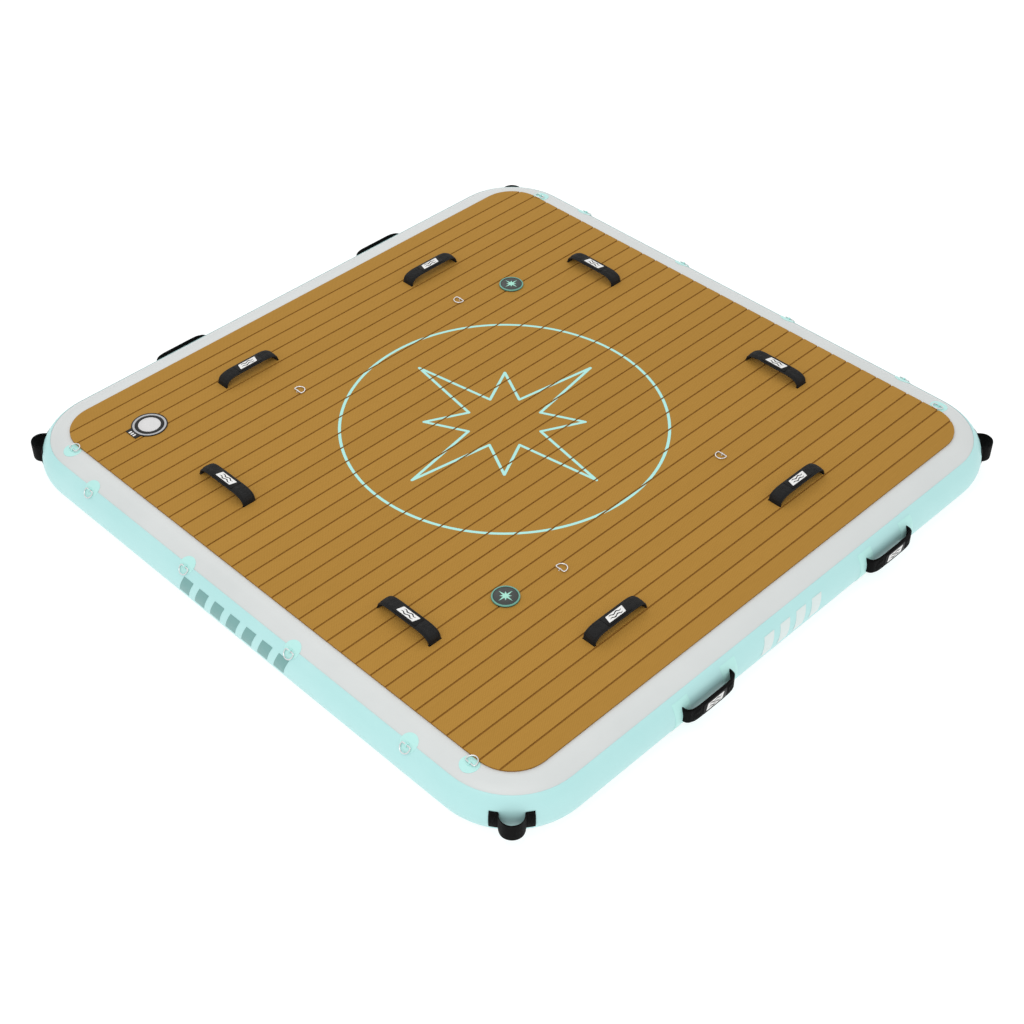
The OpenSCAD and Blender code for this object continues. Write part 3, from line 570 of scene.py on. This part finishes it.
def wave_mark(name, place, width, height):
    """A plain sea mark: a slanted white label with two bold dark waves."""
    face = plate(name, width, height, 0.7 * MM, 2 * MM, place, SOFT_PVC_WHITE, lean=0.3)
    points, faces = [], []
    for line in (-0.21, 0.21):
        rows = []
        for k in range(41):
            u = k / 40
            x = (u - 0.5) * width * 0.74
            y = line * height + math.sin(u * 4 * math.pi) * height * 0.1
            half = (0.3 + 1.9 * math.sin(math.pi * u) ** 0.5) * MM
            ring = [(-half, 0), (-half * 0.8, 0.3 * MM), (half * 0.8, 0.3 * MM), (half, 0)]
            rows.append([place @ Vector((x + 0.3 * (y + dy), y + dy, 0.65 * MM + dz)) for dy, dz in ring])
        more_points, more_faces = loft(rows)
        first = len(points)
        points += more_points
        faces += [tuple(first + i for i in f) for f in more_faces]
    piece(name + "_waves", points, faces, SOFT_PVC_BLACK)
    return face


def arch_path(half, flat, rise, start, steps=20):
    """A handle's middle line: up from one foot, over a flat top and down to the other foot. Its bends
    are fuller than an ellipse's, as stiff padding makes them."""
    full = 2 / 2.6
    line = [(-half, start), (-half, start / 2)]
    line += [(-flat + (flat - half) * math.cos(a) ** full, rise * math.sin(a) ** full)
             for a in (math.pi / 2 * k / steps for k in range(steps))]
    line += [(-flat + 2 * flat * k / steps, rise) for k in range(steps)]
    line += [(flat + (half - flat) * math.sin(a) ** full, rise * math.cos(a) ** full)
             for a in (math.pi / 2 * k / steps for k in range(steps))]
    line += [(half, 0), (half, start / 2), (half, start)]
    return [(Vector((p.x, 0, p.y)), Vector((-way.y, 0, way.x))) for p, way in with_ways(line)]


def part_of(path, start, end, steps):
    """Evenly spaced points of a path between two shares of its length."""
    lengths = along(path)
    found = []
    k = 0
    for m in range(steps + 1):
        at = lengths[-1] * (start + (end - start) * m / max(steps, 1))
        while k < len(path) - 2 and lengths[k + 1] < at:
            k += 1
        u = (at - lengths[k]) / (lengths[k + 1] - lengths[k])
        found.append((path[k][0].lerp(path[k + 1][0], u), path[k][1].lerp(path[k + 1][1], u).normalized()))
    return found


def puffed(points, faces, held, pressure, limit):
    """The points after a short cloth simulation: the stuffing swells the fabric between its held seams,
    and no point moves further than a limit."""
    mesh = bpy.data.meshes.new("puff")
    mesh.from_pydata([tuple(p) for p in points], [], [tuple(f) for f in faces])
    cloth_piece = bpy.data.objects.new("puff", mesh)
    bpy.context.scene.collection.objects.link(cloth_piece)
    pins = cloth_piece.vertex_groups.new(name="held")
    pins.add(sorted(held), 1.0, "REPLACE")
    cloth = cloth_piece.modifiers.new("cloth", "CLOTH")
    cloth.settings.quality = 8
    cloth.settings.mass = 0.15
    cloth.settings.tension_stiffness = 12
    cloth.settings.compression_stiffness = 12
    cloth.settings.shear_stiffness = 5
    cloth.settings.bending_stiffness = 0.05
    cloth.settings.shrink_min = -0.05
    cloth.settings.use_pressure = True
    cloth.settings.uniform_pressure_force = pressure
    cloth.settings.vertex_group_mass = "held"
    cloth.settings.effector_weights.gravity = 0.0
    last_frame = 20
    cloth.point_cache.frame_start = 1
    cloth.point_cache.frame_end = last_frame
    scene = bpy.context.scene
    for number in range(1, last_frame + 1):
        scene.frame_set(number)
    settled = cloth_piece.evaluated_get(bpy.context.evaluated_depsgraph_get()).data
    found = []
    for before, vertex in zip(points, settled.vertices):
        move = vertex.co - before
        found.append(before + move * min(1.0, limit / max(move.length, 1e-9)))
    bpy.data.objects.remove(cloth_piece)
    bpy.data.meshes.remove(mesh)
    scene.frame_set(1)
    return found


def make_pattern(half, rise, start, width, thick, hem, seam):
    """One handle in its own frame: its path and its padded sleeve, swollen by the cloth simulation. The
    hem and the cross seam lie at shares of the path's length."""
    path = arch_path(half, 52 * MM, rise, start)
    side = Vector((0, -1, 0))
    steps, piping = 110, 2.5 * MM
    run = part_of(path, hem, 1 - hem, steps)
    crease = (seam - hem) / (1 - 2 * hem)

    def from_end(t):
        return min(t, 1 - t)

    def section(t):
        closing = math.sin(math.pi / 2 * min(1.0, from_end(t) / 0.045))
        dip = math.exp(-((from_end(t) - crease) / 0.012) ** 2)
        half_thick = thick * (0.37 + 0.1 * closing - 0.05 * dip)
        return padded_section(width / 2 - 0.8 * MM * (1 - closing), half_thick, piping)

    points, faces, laid = sweep(run, side, section)
    around = len(section(0.5))
    held = set()
    for i, point in enumerate(points):
        row, k = divmod(i, around)
        t = from_end(row / steps)
        corded = 13 < k < 26 or k > 39 or k < 2
        under_badge = k < 15 and abs(point.x) < BADGE_W / 2 + 1 * MM
        if t < 0.045 or abs(t - crease) < 0.007 or corded or under_badge:
            held.add(i)
    points = puffed(points, faces, held, pressure=4.0, limit=1.8 * MM)
    return {"path": path, "points": points, "faces": faces, "laid": laid, "hem": hem, "seam": seam,
            "width": width, "thick": thick, "side": side}


def make_handle(name, pattern, place, rise, strap_of, sleeve_of, shift=None):
    """A grab handle, named as the node it replaces: webbing feet, a padded sleeve, seams and a badge."""
    turn = place.to_3x3()
    path = [(place @ p, (turn @ n).normalized()) for p, n in pattern["path"]]
    side = (turn @ pattern["side"]).normalized()
    width, thick, hem = pattern["width"], pattern["thick"], pattern["hem"]
    foot_half = thick * 0.35
    points, faces, laid = sweep(path, side, lambda t: flat_section(width / 2 - 1.2 * MM, foot_half), shift)
    strap_piece(name + "_webbing", points, faces, laid, strap_of)
    sleeve = strap_piece(name + "_sleeve", [place @ p for p in pattern["points"]], pattern["faces"],
                         pattern["laid"], sleeve_of, replaces=(name,))
    seams = []
    inner = width / 2 - 5.4 * MM
    for share, height in ((hem - 0.03, foot_half), (hem - 0.018, foot_half), (hem + 0.012, thick * 0.3),
                          (pattern["seam"], thick * 0.42)):
        for at in (share, 1 - share):
            (p, n), = part_of(path, at, at, 0)
            out = n * (height + 0.15 * MM)
            seams.append([(p + out - side * inner, n), (p + out + side * inner, n)])
    run = part_of(path, hem + 0.012, 1 - hem - 0.012, 60)
    for edge in (-1, 1):
        seams.append([(p + side * (edge * (width / 2 - 5 * MM)) + n * 1.5 * MM, n) for p, n in run])
    stitches(name + "_stitching", seams, BLACK_THREAD)
    out = turn @ Vector((0, 0, 1))
    plate(name + "_badge", BADGE_W, 40 * MM, 1.2 * MM, 4 * MM,
          Matrix.Translation(out * (rise - 0.9 * MM)) @ place, SOFT_PVC_BLACK)
    return wave_mark(name + "_mark", Matrix.Translation(out * (rise + 0.15 * MM)) @ place, 71 * MM, 25 * MM)


def frame_at(point, x_way, z_way):
    """A matrix whose x and z axes point given ways, at a point."""
    x, z = Vector(x_way).normalized(), Vector(z_way).normalized()
    y = z.cross(x)
    return Matrix([(x[i], y[i], z[i], point[i]) for i in range(3)] + [(0, 0, 0, 1)])


def make_deck_handles():
    low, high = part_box("deck_handle_1")
    thick, rise = 10 * MM, high.z - PAD_TOP
    pattern = make_pattern((high.x - low.x - thick) / 2, rise - thick / 2, low.z - PAD_TOP, WEBBING_W,
                           thick, 0.06, 0.215)
    for i in range(1, 9):
        low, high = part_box(f"deck_handle_{i}")
        middle = (low + high) / 2
        along_x = high.x - low.x > high.y - low.y
        place = frame_at((middle.x, middle.y, PAD_TOP), (1, 0, 0) if along_x else (0, 1, 0), (0, 0, 1))
        mark = make_handle(f"deck_handle_{i}", pattern, place, rise, BLACK_WEBBING, DECK_SLEEVE)
        if i == 1:
            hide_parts("deck_handle_badges")


def make_side_handles():
    low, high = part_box("side_handle_1")
    thick, rise = 12 * MM, -HULL_HALF - low.y
    lift = (low.z + high.z) / 2 - MID_Z
    pattern = make_pattern((high.x - low.x - thick) / 2, rise - thick / 2, 1.3 * MM, high.z - low.z,
                           thick * 0.96, 0.13, 0.26)
    for i in range(1, 5):
        low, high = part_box(f"side_handle_{i}")
        way = -1 if low.y < 0 else 1
        place = frame_at(((low.x + high.x) / 2, way * HULL_HALF, MID_Z + lift), (-way, 0, 0), (0, way, 0))

        def to_wall(t, v, point):
            """The feet run in to the round wall. The width runs down on both walls, so with way in it the
            far wall's feet are curved the wrong way up: a known fault."""
            foot = max(0.0, 1 - min(t, 1 - t) / 0.07)
            height = lift + v * way
            return Vector((0, -way * foot * foot * (WALL_R - math.sqrt(WALL_R ** 2 - height ** 2)), 0))

        # The side handles take the darker copies of the webbing and neoprene, which carry painted shade.
        mark = make_handle(f"side_handle_{i}", pattern, place, rise, SHADED_BLACK_WEBBING, SHADED_BLACK_SLEEVE, to_wall)
        if i == 1:
            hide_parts("side_handle_badges")


def make_handle_patches():
    """Welded patches under the feet of the side handles: thin at the rim, raised over the strap's tail."""
    low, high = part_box("side_handle_1")
    lift = (low.z + high.z) / 2 - MID_Z
    width, reach = 66 * MM, math.radians(40)
    for i in range(1, 5):
        low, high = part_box(f"side_handle_{i}")
        way = -1 if low.y < 0 else 1
        for end, foot in (("left", low.x + 6 * MM), ("right", high.x - 6 * MM)):
            loops = []
            for j in range(29):
                x = (-1 + 2 * j / 28) * width / 2
                top, under = [], []
                for k in range(37):
                    a = (-1 + 2 * k / 36) * reach
                    rim = min(1.0, min(width / 2 - abs(x), (reach - abs(a)) * WALL_R) / (2 * MM))
                    tail = clamp((27 * MM - abs(a * WALL_R - lift)) / (3 * MM))
                    tail *= clamp((28 * MM - abs(x)) / (3 * MM))
                    base = WALL_R + GLUE
                    raised = base + PATCH_T * (0.25 + 0.75 * rim ** 0.5) + 0.9 * MM * tail
                    for row, r in ((top, raised), (under, base)):
                        row.append(Vector((foot + x, way * (EDGE_HALF + r * math.cos(a)),
                                           MID_Z + r * math.sin(a))))
                loops.append(top + list(reversed(under)))
            points, faces = loft(loops)
            made = piece(f"side_handle_{i}_patch_{end}", points, faces, MINT_PATCH)
            if i == 1 and end == "left":
                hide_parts("side_handle_patches")
            keep_edges(made, 60)


# ---------------- corner loops


def make_corner_loops():
    """Webbing loops: two tabs sewn flat on the hull's corner and a U that stands off it."""
    web, bend = 2.6 * MM, 4 * MM
    low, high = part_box("corner_loop_1")
    tall = high.z - low.z
    wide, reach, tab = 78 * MM, 39 * MM, math.radians(5.1)
    r_tab = CORNER_R + GLUE + web / 2
    r_u = (wide - web) / 2
    c_u = CORNER_R + reach - wide / 2
    to_bend, to_u = r_tab + bend, r_u + bend
    bend_x = (c_u ** 2 + to_bend ** 2 - to_u ** 2) / (2 * c_u)
    bend_y = math.sqrt(to_bend ** 2 - bend_x ** 2)
    foot = math.degrees(math.atan2(bend_y, bend_x))
    knee = math.degrees(math.atan2(bend_y, bend_x - c_u))
    line = arc(r_tab, foot + math.degrees(tab), foot, 10)
    line += arc(bend, 180 + foot, 180 + knee, 8, (bend_x, bend_y))[1:]
    line += arc(r_u, knee, 0, 22, (c_u, 0))[1:]
    line += [(x, -y) for x, y in reversed(line[:-1])]
    lengths = [math.dist(a, b) for a, b in zip(line, line[1:])]
    total = sum(lengths)
    leg = sum(lengths[:18]) / total
    up = Vector((0, 0, 1))
    for i in range(1, 5):
        low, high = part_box(f"corner_loop_{i}")
        middle = (low + high) / 2
        corner = (math.copysign(CORNER_C, middle.x), math.copysign(CORNER_C, middle.y), middle.z)
        out = Vector((corner[0], corner[1], 0)).normalized()
        place = frame_at(corner, out, up)
        turn = place.to_3x3()
        path = [(place @ p.to_3d(), (turn @ Vector((-way.y, way.x, 0))).normalized())
                for p, way in with_ways(line)]

        def to_wall(t, v, point):
            """The tabs hug the round wall, and the U's legs run in to meet it."""
            fade = clamp((min(t, 1 - t) - leg) / 0.16)
            depth = WALL_R - math.sqrt(WALL_R ** 2 - (v + LOOP_LIFT) ** 2)
            inward = Vector((corner[0] - point.x, corner[1] - point.y, 0)).normalized()
            return inward * depth * (1 - fade) ** 2

        points, faces, laid = sweep(path, up, lambda t: flat_section(tall / 2, web / 2, 15), to_wall)
        # The loops take the darker copy of the webbing, which carries painted shade.
        strap_piece(f"corner_loop_{i}_webbing", points, faces, laid, SHADED_BLACK_WEBBING,
                    replaces=(f"corner_loop_{i}",))
        seams = []
        inset = tall / 2 - 4 * MM
        for ends in (path[1:10], path[-10:-1]):
            box = [[(p, v) for p in ends] for v in (-inset, inset)]
            box += [[(p, -inset + 2 * inset * k / 10) for k in range(11)] for p in (ends[0], ends[-1])]
            box.append([(p, -inset + 2 * inset * k / 8) for k, p in enumerate(ends)])
            box.append([(p, inset - 2 * inset * k / 8) for k, p in enumerate(ends)])
            out_by = web / 2 + 0.1 * MM
            for seam in box:
                seams.append([(p + up * v + n * out_by + to_wall(0, v, p), n) for (p, n), v in seam])
        stitches(f"corner_loop_{i}_stitching", seams, BLACK_THREAD)


# ---------------- D-rings


def ring_frame(node, joint):
    """Pivot, way out of the ring and way along its bar, at rest."""
    pivot = Vector(JOINT[joint]["pos_m"])
    axis = Vector(JOINT[joint]["axis"]).normalized()
    low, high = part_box(node)
    out = (low + high) / 2 - pivot
    out -= axis * out.dot(axis)
    out.normalize()
    return pivot, out, axis


def make_ring(name, joint):
    """A bent and welded D of round rod, with bends of a real radius."""
    pivot, out, along = ring_frame(name, joint)
    half, leg, bend = 18 * MM, 8 * MM, 4 * MM
    line = [(0.0, 0.0), (0.0, half / 2)]
    line += arc(bend, 180, 90, 6, (bend, half - bend))
    line += arc(half, 90, -90, 28, (leg, 0))
    line += arc(bend, -90, -180, 6, (bend, bend - half))
    line += [(0.0, -half / 2)]
    rows = []
    for p, way in with_ways(line, closed=True):
        weld = 0.25 * MM * math.exp(-p.length_squared / (3 * MM) ** 2)
        row = []
        for side, lift in arc(WIRE_R + weld, 0, 360 * 13 / 14, 13):
            across = out * (p.x + way.y * side) + along * (p.y - way.x * side)
            row.append(pivot + across + out.cross(along) * lift)
        rows.append(row)
    points, faces = loft(rows, closed_along=True)
    body = JOINT[joint]["child"]
    piece(name + "_rod", points, faces, STEEL, body, (name,))


def make_keeper(name, pivot, out, along, off, steel, first):
    """A keeper over the ring's bar: a webbing loop with flat tails, or a small pressed steel saddle."""
    mid_r, base, half_thick = 2.8 * MM, -3.1 * MM, 0.6 * MM
    half, tail = (2.2 * MM, 5.7 * MM) if steel else (3.5 * MM, 8 * MM)
    line = [(-tail, base), (-5.6 * MM, base), (-4.4 * MM, base + 0.15 * MM)]
    line += arc(mid_r, 205, -25, 22)
    line += [(4.4 * MM, base + 0.15 * MM), (5.6 * MM, base), (tail, base)]
    path = [(pivot + out * p.x + off * p.y, (off * way.x - out * way.y).normalized())
            for p, way in with_ways(line)]
    points, faces, laid = sweep(path, along, lambda t: flat_section(half, half_thick))
    strap_piece(name, points, faces, laid, STEEL if steel else MINT_WEBBING,
                replaces=("ring_keepers",) if first else ())


def wall_patch(name, centre_y, side, first):
    """A round patch welded across the seam, which steps down from the wall to the top sheet."""
    radius, middle = PATCH_R, math.radians(52)
    seam = math.radians(SEAM_ANGLE)
    rows = []
    for ring in range(13):
        share = ring / 12
        row = []
        for k in range(PATCH_STEPS):
            a = 2 * math.pi * k / PATCH_STEPS
            y = centre_y + radius * share * math.cos(a)
            turn = middle + radius * share * math.sin(a) / WALL_R
            step = clamp((turn - seam) / math.radians(4))
            base = WALL_R + GLUE - (WALL_R - SHEET_R) * step * step * (3 - 2 * step)
            rim = min(1.0, (1 - share) * radius / (1.5 * MM))
            r = base + PATCH_T * (0.3 + 0.7 * rim ** 0.5) - (0.25 * MM if 0.86 < share < 0.9 else 0.0)
            row.append(Vector((side * (EDGE_HALF + r * math.cos(turn)), y, MID_Z + r * math.sin(turn))))
        rows.append(row)
    finish_patch(name, rows, first)


def finish_patch(name, rows, first):
    """Closes a patch: its top, a thin rim and a back."""
    rows = rows + [[p - Vector((0, 0, 0.25 * MM)) for p in rows[-1]]]
    points, faces = loft(rows, caps=False)
    faces.append(tuple(range((len(rows) - 1) * PATCH_STEPS, len(rows) * PATCH_STEPS)))
    centre = sum(rows[0], Vector()) / PATCH_STEPS
    points = [centre if k < PATCH_STEPS else p for k, p in enumerate(points)]
    stands_for = ("ring_patches",) if first else ()
    keep_edges(piece(name, points, faces, MINT_PATCH, replaces=stands_for), 60)


def top_patch(name, centre, side):
    """A round patch on the top sheet whose inner side runs under the pad's edge."""
    radius = PATCH_R
    rows = []
    for ring in range(13):
        share = ring / 12
        row = []
        for k in range(PATCH_STEPS):
            a = 2 * math.pi * k / PATCH_STEPS
            x, y = centre.x + radius * share * math.cos(a), centre.y + radius * share * math.sin(a)
            if abs(x) < PAD_HALF + 0.3 * MM:
                x = side * (PAD_HALF + 0.3 * MM)
            dx, dy = abs(x) - CORNER_C, abs(y) - CORNER_C
            beyond = (math.hypot(dx, dy) if dy > 0 else dx) - EDGE_CORNER_R
            rim = min(1.0, (1 - share) * radius / (1.5 * MM))
            r = SHEET_R + GLUE + PATCH_T * (0.3 + 0.7 * rim ** 0.5)
            row.append(Vector((x, y, MID_Z + math.sqrt(r ** 2 - max(0.0, beyond) ** 2))))
        rows.append(row)
    finish_patch(name, rows, False)


def make_rings():
    first = True
    for kind, count in (("side_ring", 8), ("corner_ring", 4), ("deck_ring", 4)):
        for i in range(1, count + 1):
            name = f"{kind}_{i}"
            joint = name + "_swing"
            make_ring(name, joint)
            pivot, _, along = ring_frame(name, joint)
            side = math.copysign(1, pivot.x)
            if kind == "side_ring":
                turn = math.atan2(pivot.z - MID_Z, abs(pivot.x) - EDGE_HALF)
                off = Vector((side * math.cos(turn), 0, math.sin(turn)))
                wall_patch(name + "_patch", pivot.y, side, first)
            else:
                off = Vector((0, 0, 1))
            if kind == "corner_ring":
                top_patch(name + "_patch", pivot, side)
            tails = along.cross(off) * -1
            make_keeper(name + "_keeper", pivot, tails, along, off, kind == "deck_ring", first)
            first = False


# ---------------- valve


def make_valve():
    """A large inflation valve: bezel, rubber ring, cap and the tether with its pull tab."""
    low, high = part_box("valve_bezel")
    c = ((low.x + high.x) / 2, (low.y + high.y) / 2)
    z0, z1 = low.z, high.z
    r1, r0 = (high.x - low.x) / 2, 49.2 * MM
    e = 1.2 * MM
    lathe("valve_bezel_ring", [(r0, z0), (r1, z0), (r1, z1 - e)] + arc(e, 0, 90, 5, (r1 - e, z1 - e)) +
          [(r0 + 3.2 * MM, z1), (r0 + 2.8 * MM, z1 - 0.5 * MM), (r0 + 2.2 * MM, z1 - 0.5 * MM),
           (r0 + 1.8 * MM, z1)] + arc(0.8 * MM, 90, 180, 4, (r0 + 0.8 * MM, z1 - 0.8 * MM)),
          c, GREY_NYLON, replaces=("valve_bezel",))
    low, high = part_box("valve_cap")
    lip_r, z0, z1, r = (high.x - low.x) / 2, low.z, high.z, 37.6 * MM
    profile = [(20 * MM, z0), (lip_r, z0), (lip_r, z0 + 1.5 * MM), (r, z0 + 1.5 * MM), (r, z1 - 1.5 * MM)]
    profile += arc(1.5 * MM, 0, 90, 6, (r - 1.5 * MM, z1 - 1.5 * MM))
    profile += [(r - 4.5 * MM, z1), (r - 5 * MM, z1 - 0.6 * MM), (r - 6.2 * MM, z1 - 0.7 * MM),
                (r - 7 * MM, z1 - 0.45 * MM), (r - 12 * MM, z1 - 0.3 * MM), (20 * MM, z1 - 0.1 * MM)]
    lathe("valve_cap_moulding", profile, c, WHITE_NYLON, "cap", ("valve_cap",), ring=False)
    low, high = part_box("cap_swivel")
    r1, z0, z1 = (high.x - low.x) / 2 + 1.0 * MM, low.z, high.z
    lathe("cap_swivel_ring", [(43.6 * MM, z0), (r1, z0), (r1, z1 - 0.8 * MM)] +
          arc(0.8 * MM, 0, 90, 4, (r1 - 0.8 * MM, z1 - 0.8 * MM)) +
          arc(0.8 * MM, 90, 180, 4, (39.0 * MM, z1 - 0.8 * MM)) +
          [(38.2 * MM, z1 - 2.5 * MM), (43.6 * MM, z1 - 2.5 * MM)],
          c, BLACK_RUBBER, "cap_carrier", ("cap_swivel",))
    dress("cap_tether", BLACK_RUBBER, 0.8 * MM)
    low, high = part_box("cap_tether")
    for k, shift in enumerate((-11 * MM, 0.0, 11 * MM)):
        spot = frame_at((low.x + 7.5 * MM, c[1] + shift, high.z - 0.1 * MM), (1, 0, 0), (0, 0, 1))
        plate(f"tab_bar_{k + 1}", 12 * MM, 6 * MM, 0.5 * MM, 1 * MM, spot, SOFT_PVC_WHITE,
              edge=0.15 * MM)
    dress("valve_body", DARK_NYLON, 0.4 * MM)
    dress("valve_backing_nut", DARK_NYLON, 0.4 * MM)
    dress("valve_stem", WHITE_NYLON, 0.3 * MM)
    dress("valve_seal", BLACK_RUBBER)
    dress("cap_gasket", BLACK_RUBBER)


def make_spring():
    """The stem's return spring: a coil of wound wire."""
    low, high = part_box("valve_spring")
    wire, turns, steps = 0.7 * MM, 4, 24
    middle = (low + high) / 2
    coil, rise = (high.x - low.x) / 2 - wire, high.z - low.z - 2 * wire
    rows = []
    for k in range(turns * steps + 1):
        a = 2 * math.pi * k / steps
        out = Vector((math.cos(a), math.sin(a), 0))
        at = Vector((middle.x, middle.y, low.z + wire + rise * k / (turns * steps))) + out * coil
        rows.append([at + out * x + Vector((0, 0, z)) for x, z in arc(wire, 0, 330, 11)])
    points, faces = loft(rows)
    spring = piece("valve_spring_coil", points, faces, STEEL, replaces=("valve_spring",))
    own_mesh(spring)


# ---------------- docking discs


def make_discs():
    """Two docking discs: a turned housing, a teal band, a dark face and a small mint compass star."""
    low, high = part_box("disc_housings")
    r = 44 * MM
    centres = ((high.x - r, high.y - r), (low.x + r, low.y + r))
    top = high.z
    e = 1.5 * MM
    for k, c in enumerate(centres):
        profile = [(20 * MM, low.z), (r, low.z), (r, top - e)] + arc(e, 0, 90, 7, (r - e, top - e))
        profile += [(39.2 * MM, top), (38.6 * MM, top - 0.4 * MM), (38.3 * MM, top - 2.5 * MM),
                    (20 * MM, top - 2.5 * MM)]
        lathe(f"disc_{k + 1}_housing", profile, c, BLACK_RUBBER,
              replaces=("disc_housings",) if k == 0 else (), ring=False)
        band = [(38.9 * MM, top - 0.4 * MM), (43.4 * MM, top - 3.4 * MM), (44.2 * MM, top - 3.4 * MM),
                (44.2 * MM, top - 0.9 * MM), (43.7 * MM, top), (42.8 * MM, top + 0.3 * MM),
                (39.2 * MM, top + 0.3 * MM)]
        lathe(f"disc_{k + 1}_band", band, c, TEAL_PVC)
        face = [(20 * MM, top - 2.5 * MM), (38 * MM, top - 2.5 * MM), (38 * MM, top - 0.6 * MM),
                (37.4 * MM, top - 0.2 * MM), (20 * MM, top - 0.1 * MM)]
        lathe(f"disc_{k + 1}_face", face, c, DARK_NYLON,
              replaces=("disc_faces",) if k == 0 else (), ring=False)
        star = []
        for j in range(16):
            reach = (30, 9, 19, 9)[j % 4] * MM
            a = 2 * math.pi * j / 16
            star.append((reach * math.cos(a), reach * math.sin(a)))
        rows = [[Vector((c[0] + x * s, c[1] + y * s, z)) for x, y in star]
                for s, z in ((1, top - 0.3 * MM), (1, top + 0.1 * MM), (0.93, top + 0.3 * MM))]
        points, faces = loft(rows)
        keep_edges(piece(f"disc_{k + 1}_star", points, faces, MINT_PVC), 30)
    dress("disc_magnets", NICKEL)


# ---------------- wall prints


def make_prints():
    """Slanted bars printed on the walls; the front wall's are white."""
    shown = dress("wall_graphics", SLATE_INK)
    shown.data.materials.append(WHITE_INK)
    for polygon in shown.data.polygons:
        polygon.material_index = 1 if polygon.center.y < -EDGE_HALF else 0


# ---------------- stage


def look_at(thing, target):
    thing.rotation_euler = (Vector(target) - thing.location).to_track_quat("-Z", "Y").to_euler()


def make_camera():
    """A long lens from one corner, 42 degrees above the deck."""
    data = bpy.data.cameras.new("camera")
    data.sensor_width = 36
    data.lens = 61.56
    data.clip_end = 60
    made = bpy.data.objects.new("camera", data)
    bpy.context.scene.collection.objects.link(made)
    made.location = (-3.2028, -3.2028, 3.6955 + PAD_TOP)
    look_at(made, made.location + Vector((0.52545, 0.52545, -0.6692)))
    bpy.context.scene.camera = made


def area_light(name, place, size, power):
    """A round soft light that faces the middle of the floor."""
    data = bpy.data.lights.new(name, "AREA")
    data.shape = "DISK"
    data.size = size
    data.energy = power
    made = bpy.data.objects.new(name, data)
    bpy.context.scene.collection.objects.link(made)
    made.location = place
    look_at(made, (0, 0, 0))


def make_stage():
    """A plain pale floor and soft, even light from above, a little stronger from the camera's left."""
    mesh = bpy.data.meshes.new("floor")
    far = 30
    mesh.from_pydata([(-far, -far, 0), (far, -far, 0), (far, far, 0), (-far, far, 0)], [], [(0, 1, 2, 3)])
    floor = bpy.data.objects.new("floor", mesh)
    floor.location.z = -0.5 * MM
    bpy.context.scene.collection.objects.link(floor)
    made, tree, skin, place = blank("opal_acrylic_light_table", 0.9, specular=0.0)
    grain = add(tree, "ShaderNodeTexNoise", {"Vector": place, "Scale": 1 / (9 * MM)})
    add(tree, "ShaderNodeMix", {0: grain, 6: linear("bababa"), 7: linear("bebebe")}, 2, [skin["Base Color"]],
        data_type="RGBA")
    skin["Emission Color"].default_value = linear("ffffff")
    skin["Emission Strength"].default_value = 0.64
    mesh.materials.append(made)
    world = bpy.data.worlds.new("studio")
    world.use_nodes = True
    back = world.node_tree.nodes["Background"]
    back.inputs["Color"].default_value = linear("ffffff")
    back.inputs["Strength"].default_value = 0.8
    bpy.context.scene.world = world
    area_light("key", (-3.0, -1.5, 5.0), 3.5, 70)
    area_light("fill", (3.5, -4.0, 4.0), 4.0, 8)
    area_light("back", (2.5, 4.0, 4.5), 4.0, 44)
    bpy.context.scene.view_settings.view_transform = "Standard"


make_camera()
make_stage()
make_hull()
make_deck()
make_prints()
make_deck_handles()
make_side_handles()
make_handle_patches()
make_corner_loops()
make_rings()
make_valve()
make_spring()
make_discs()
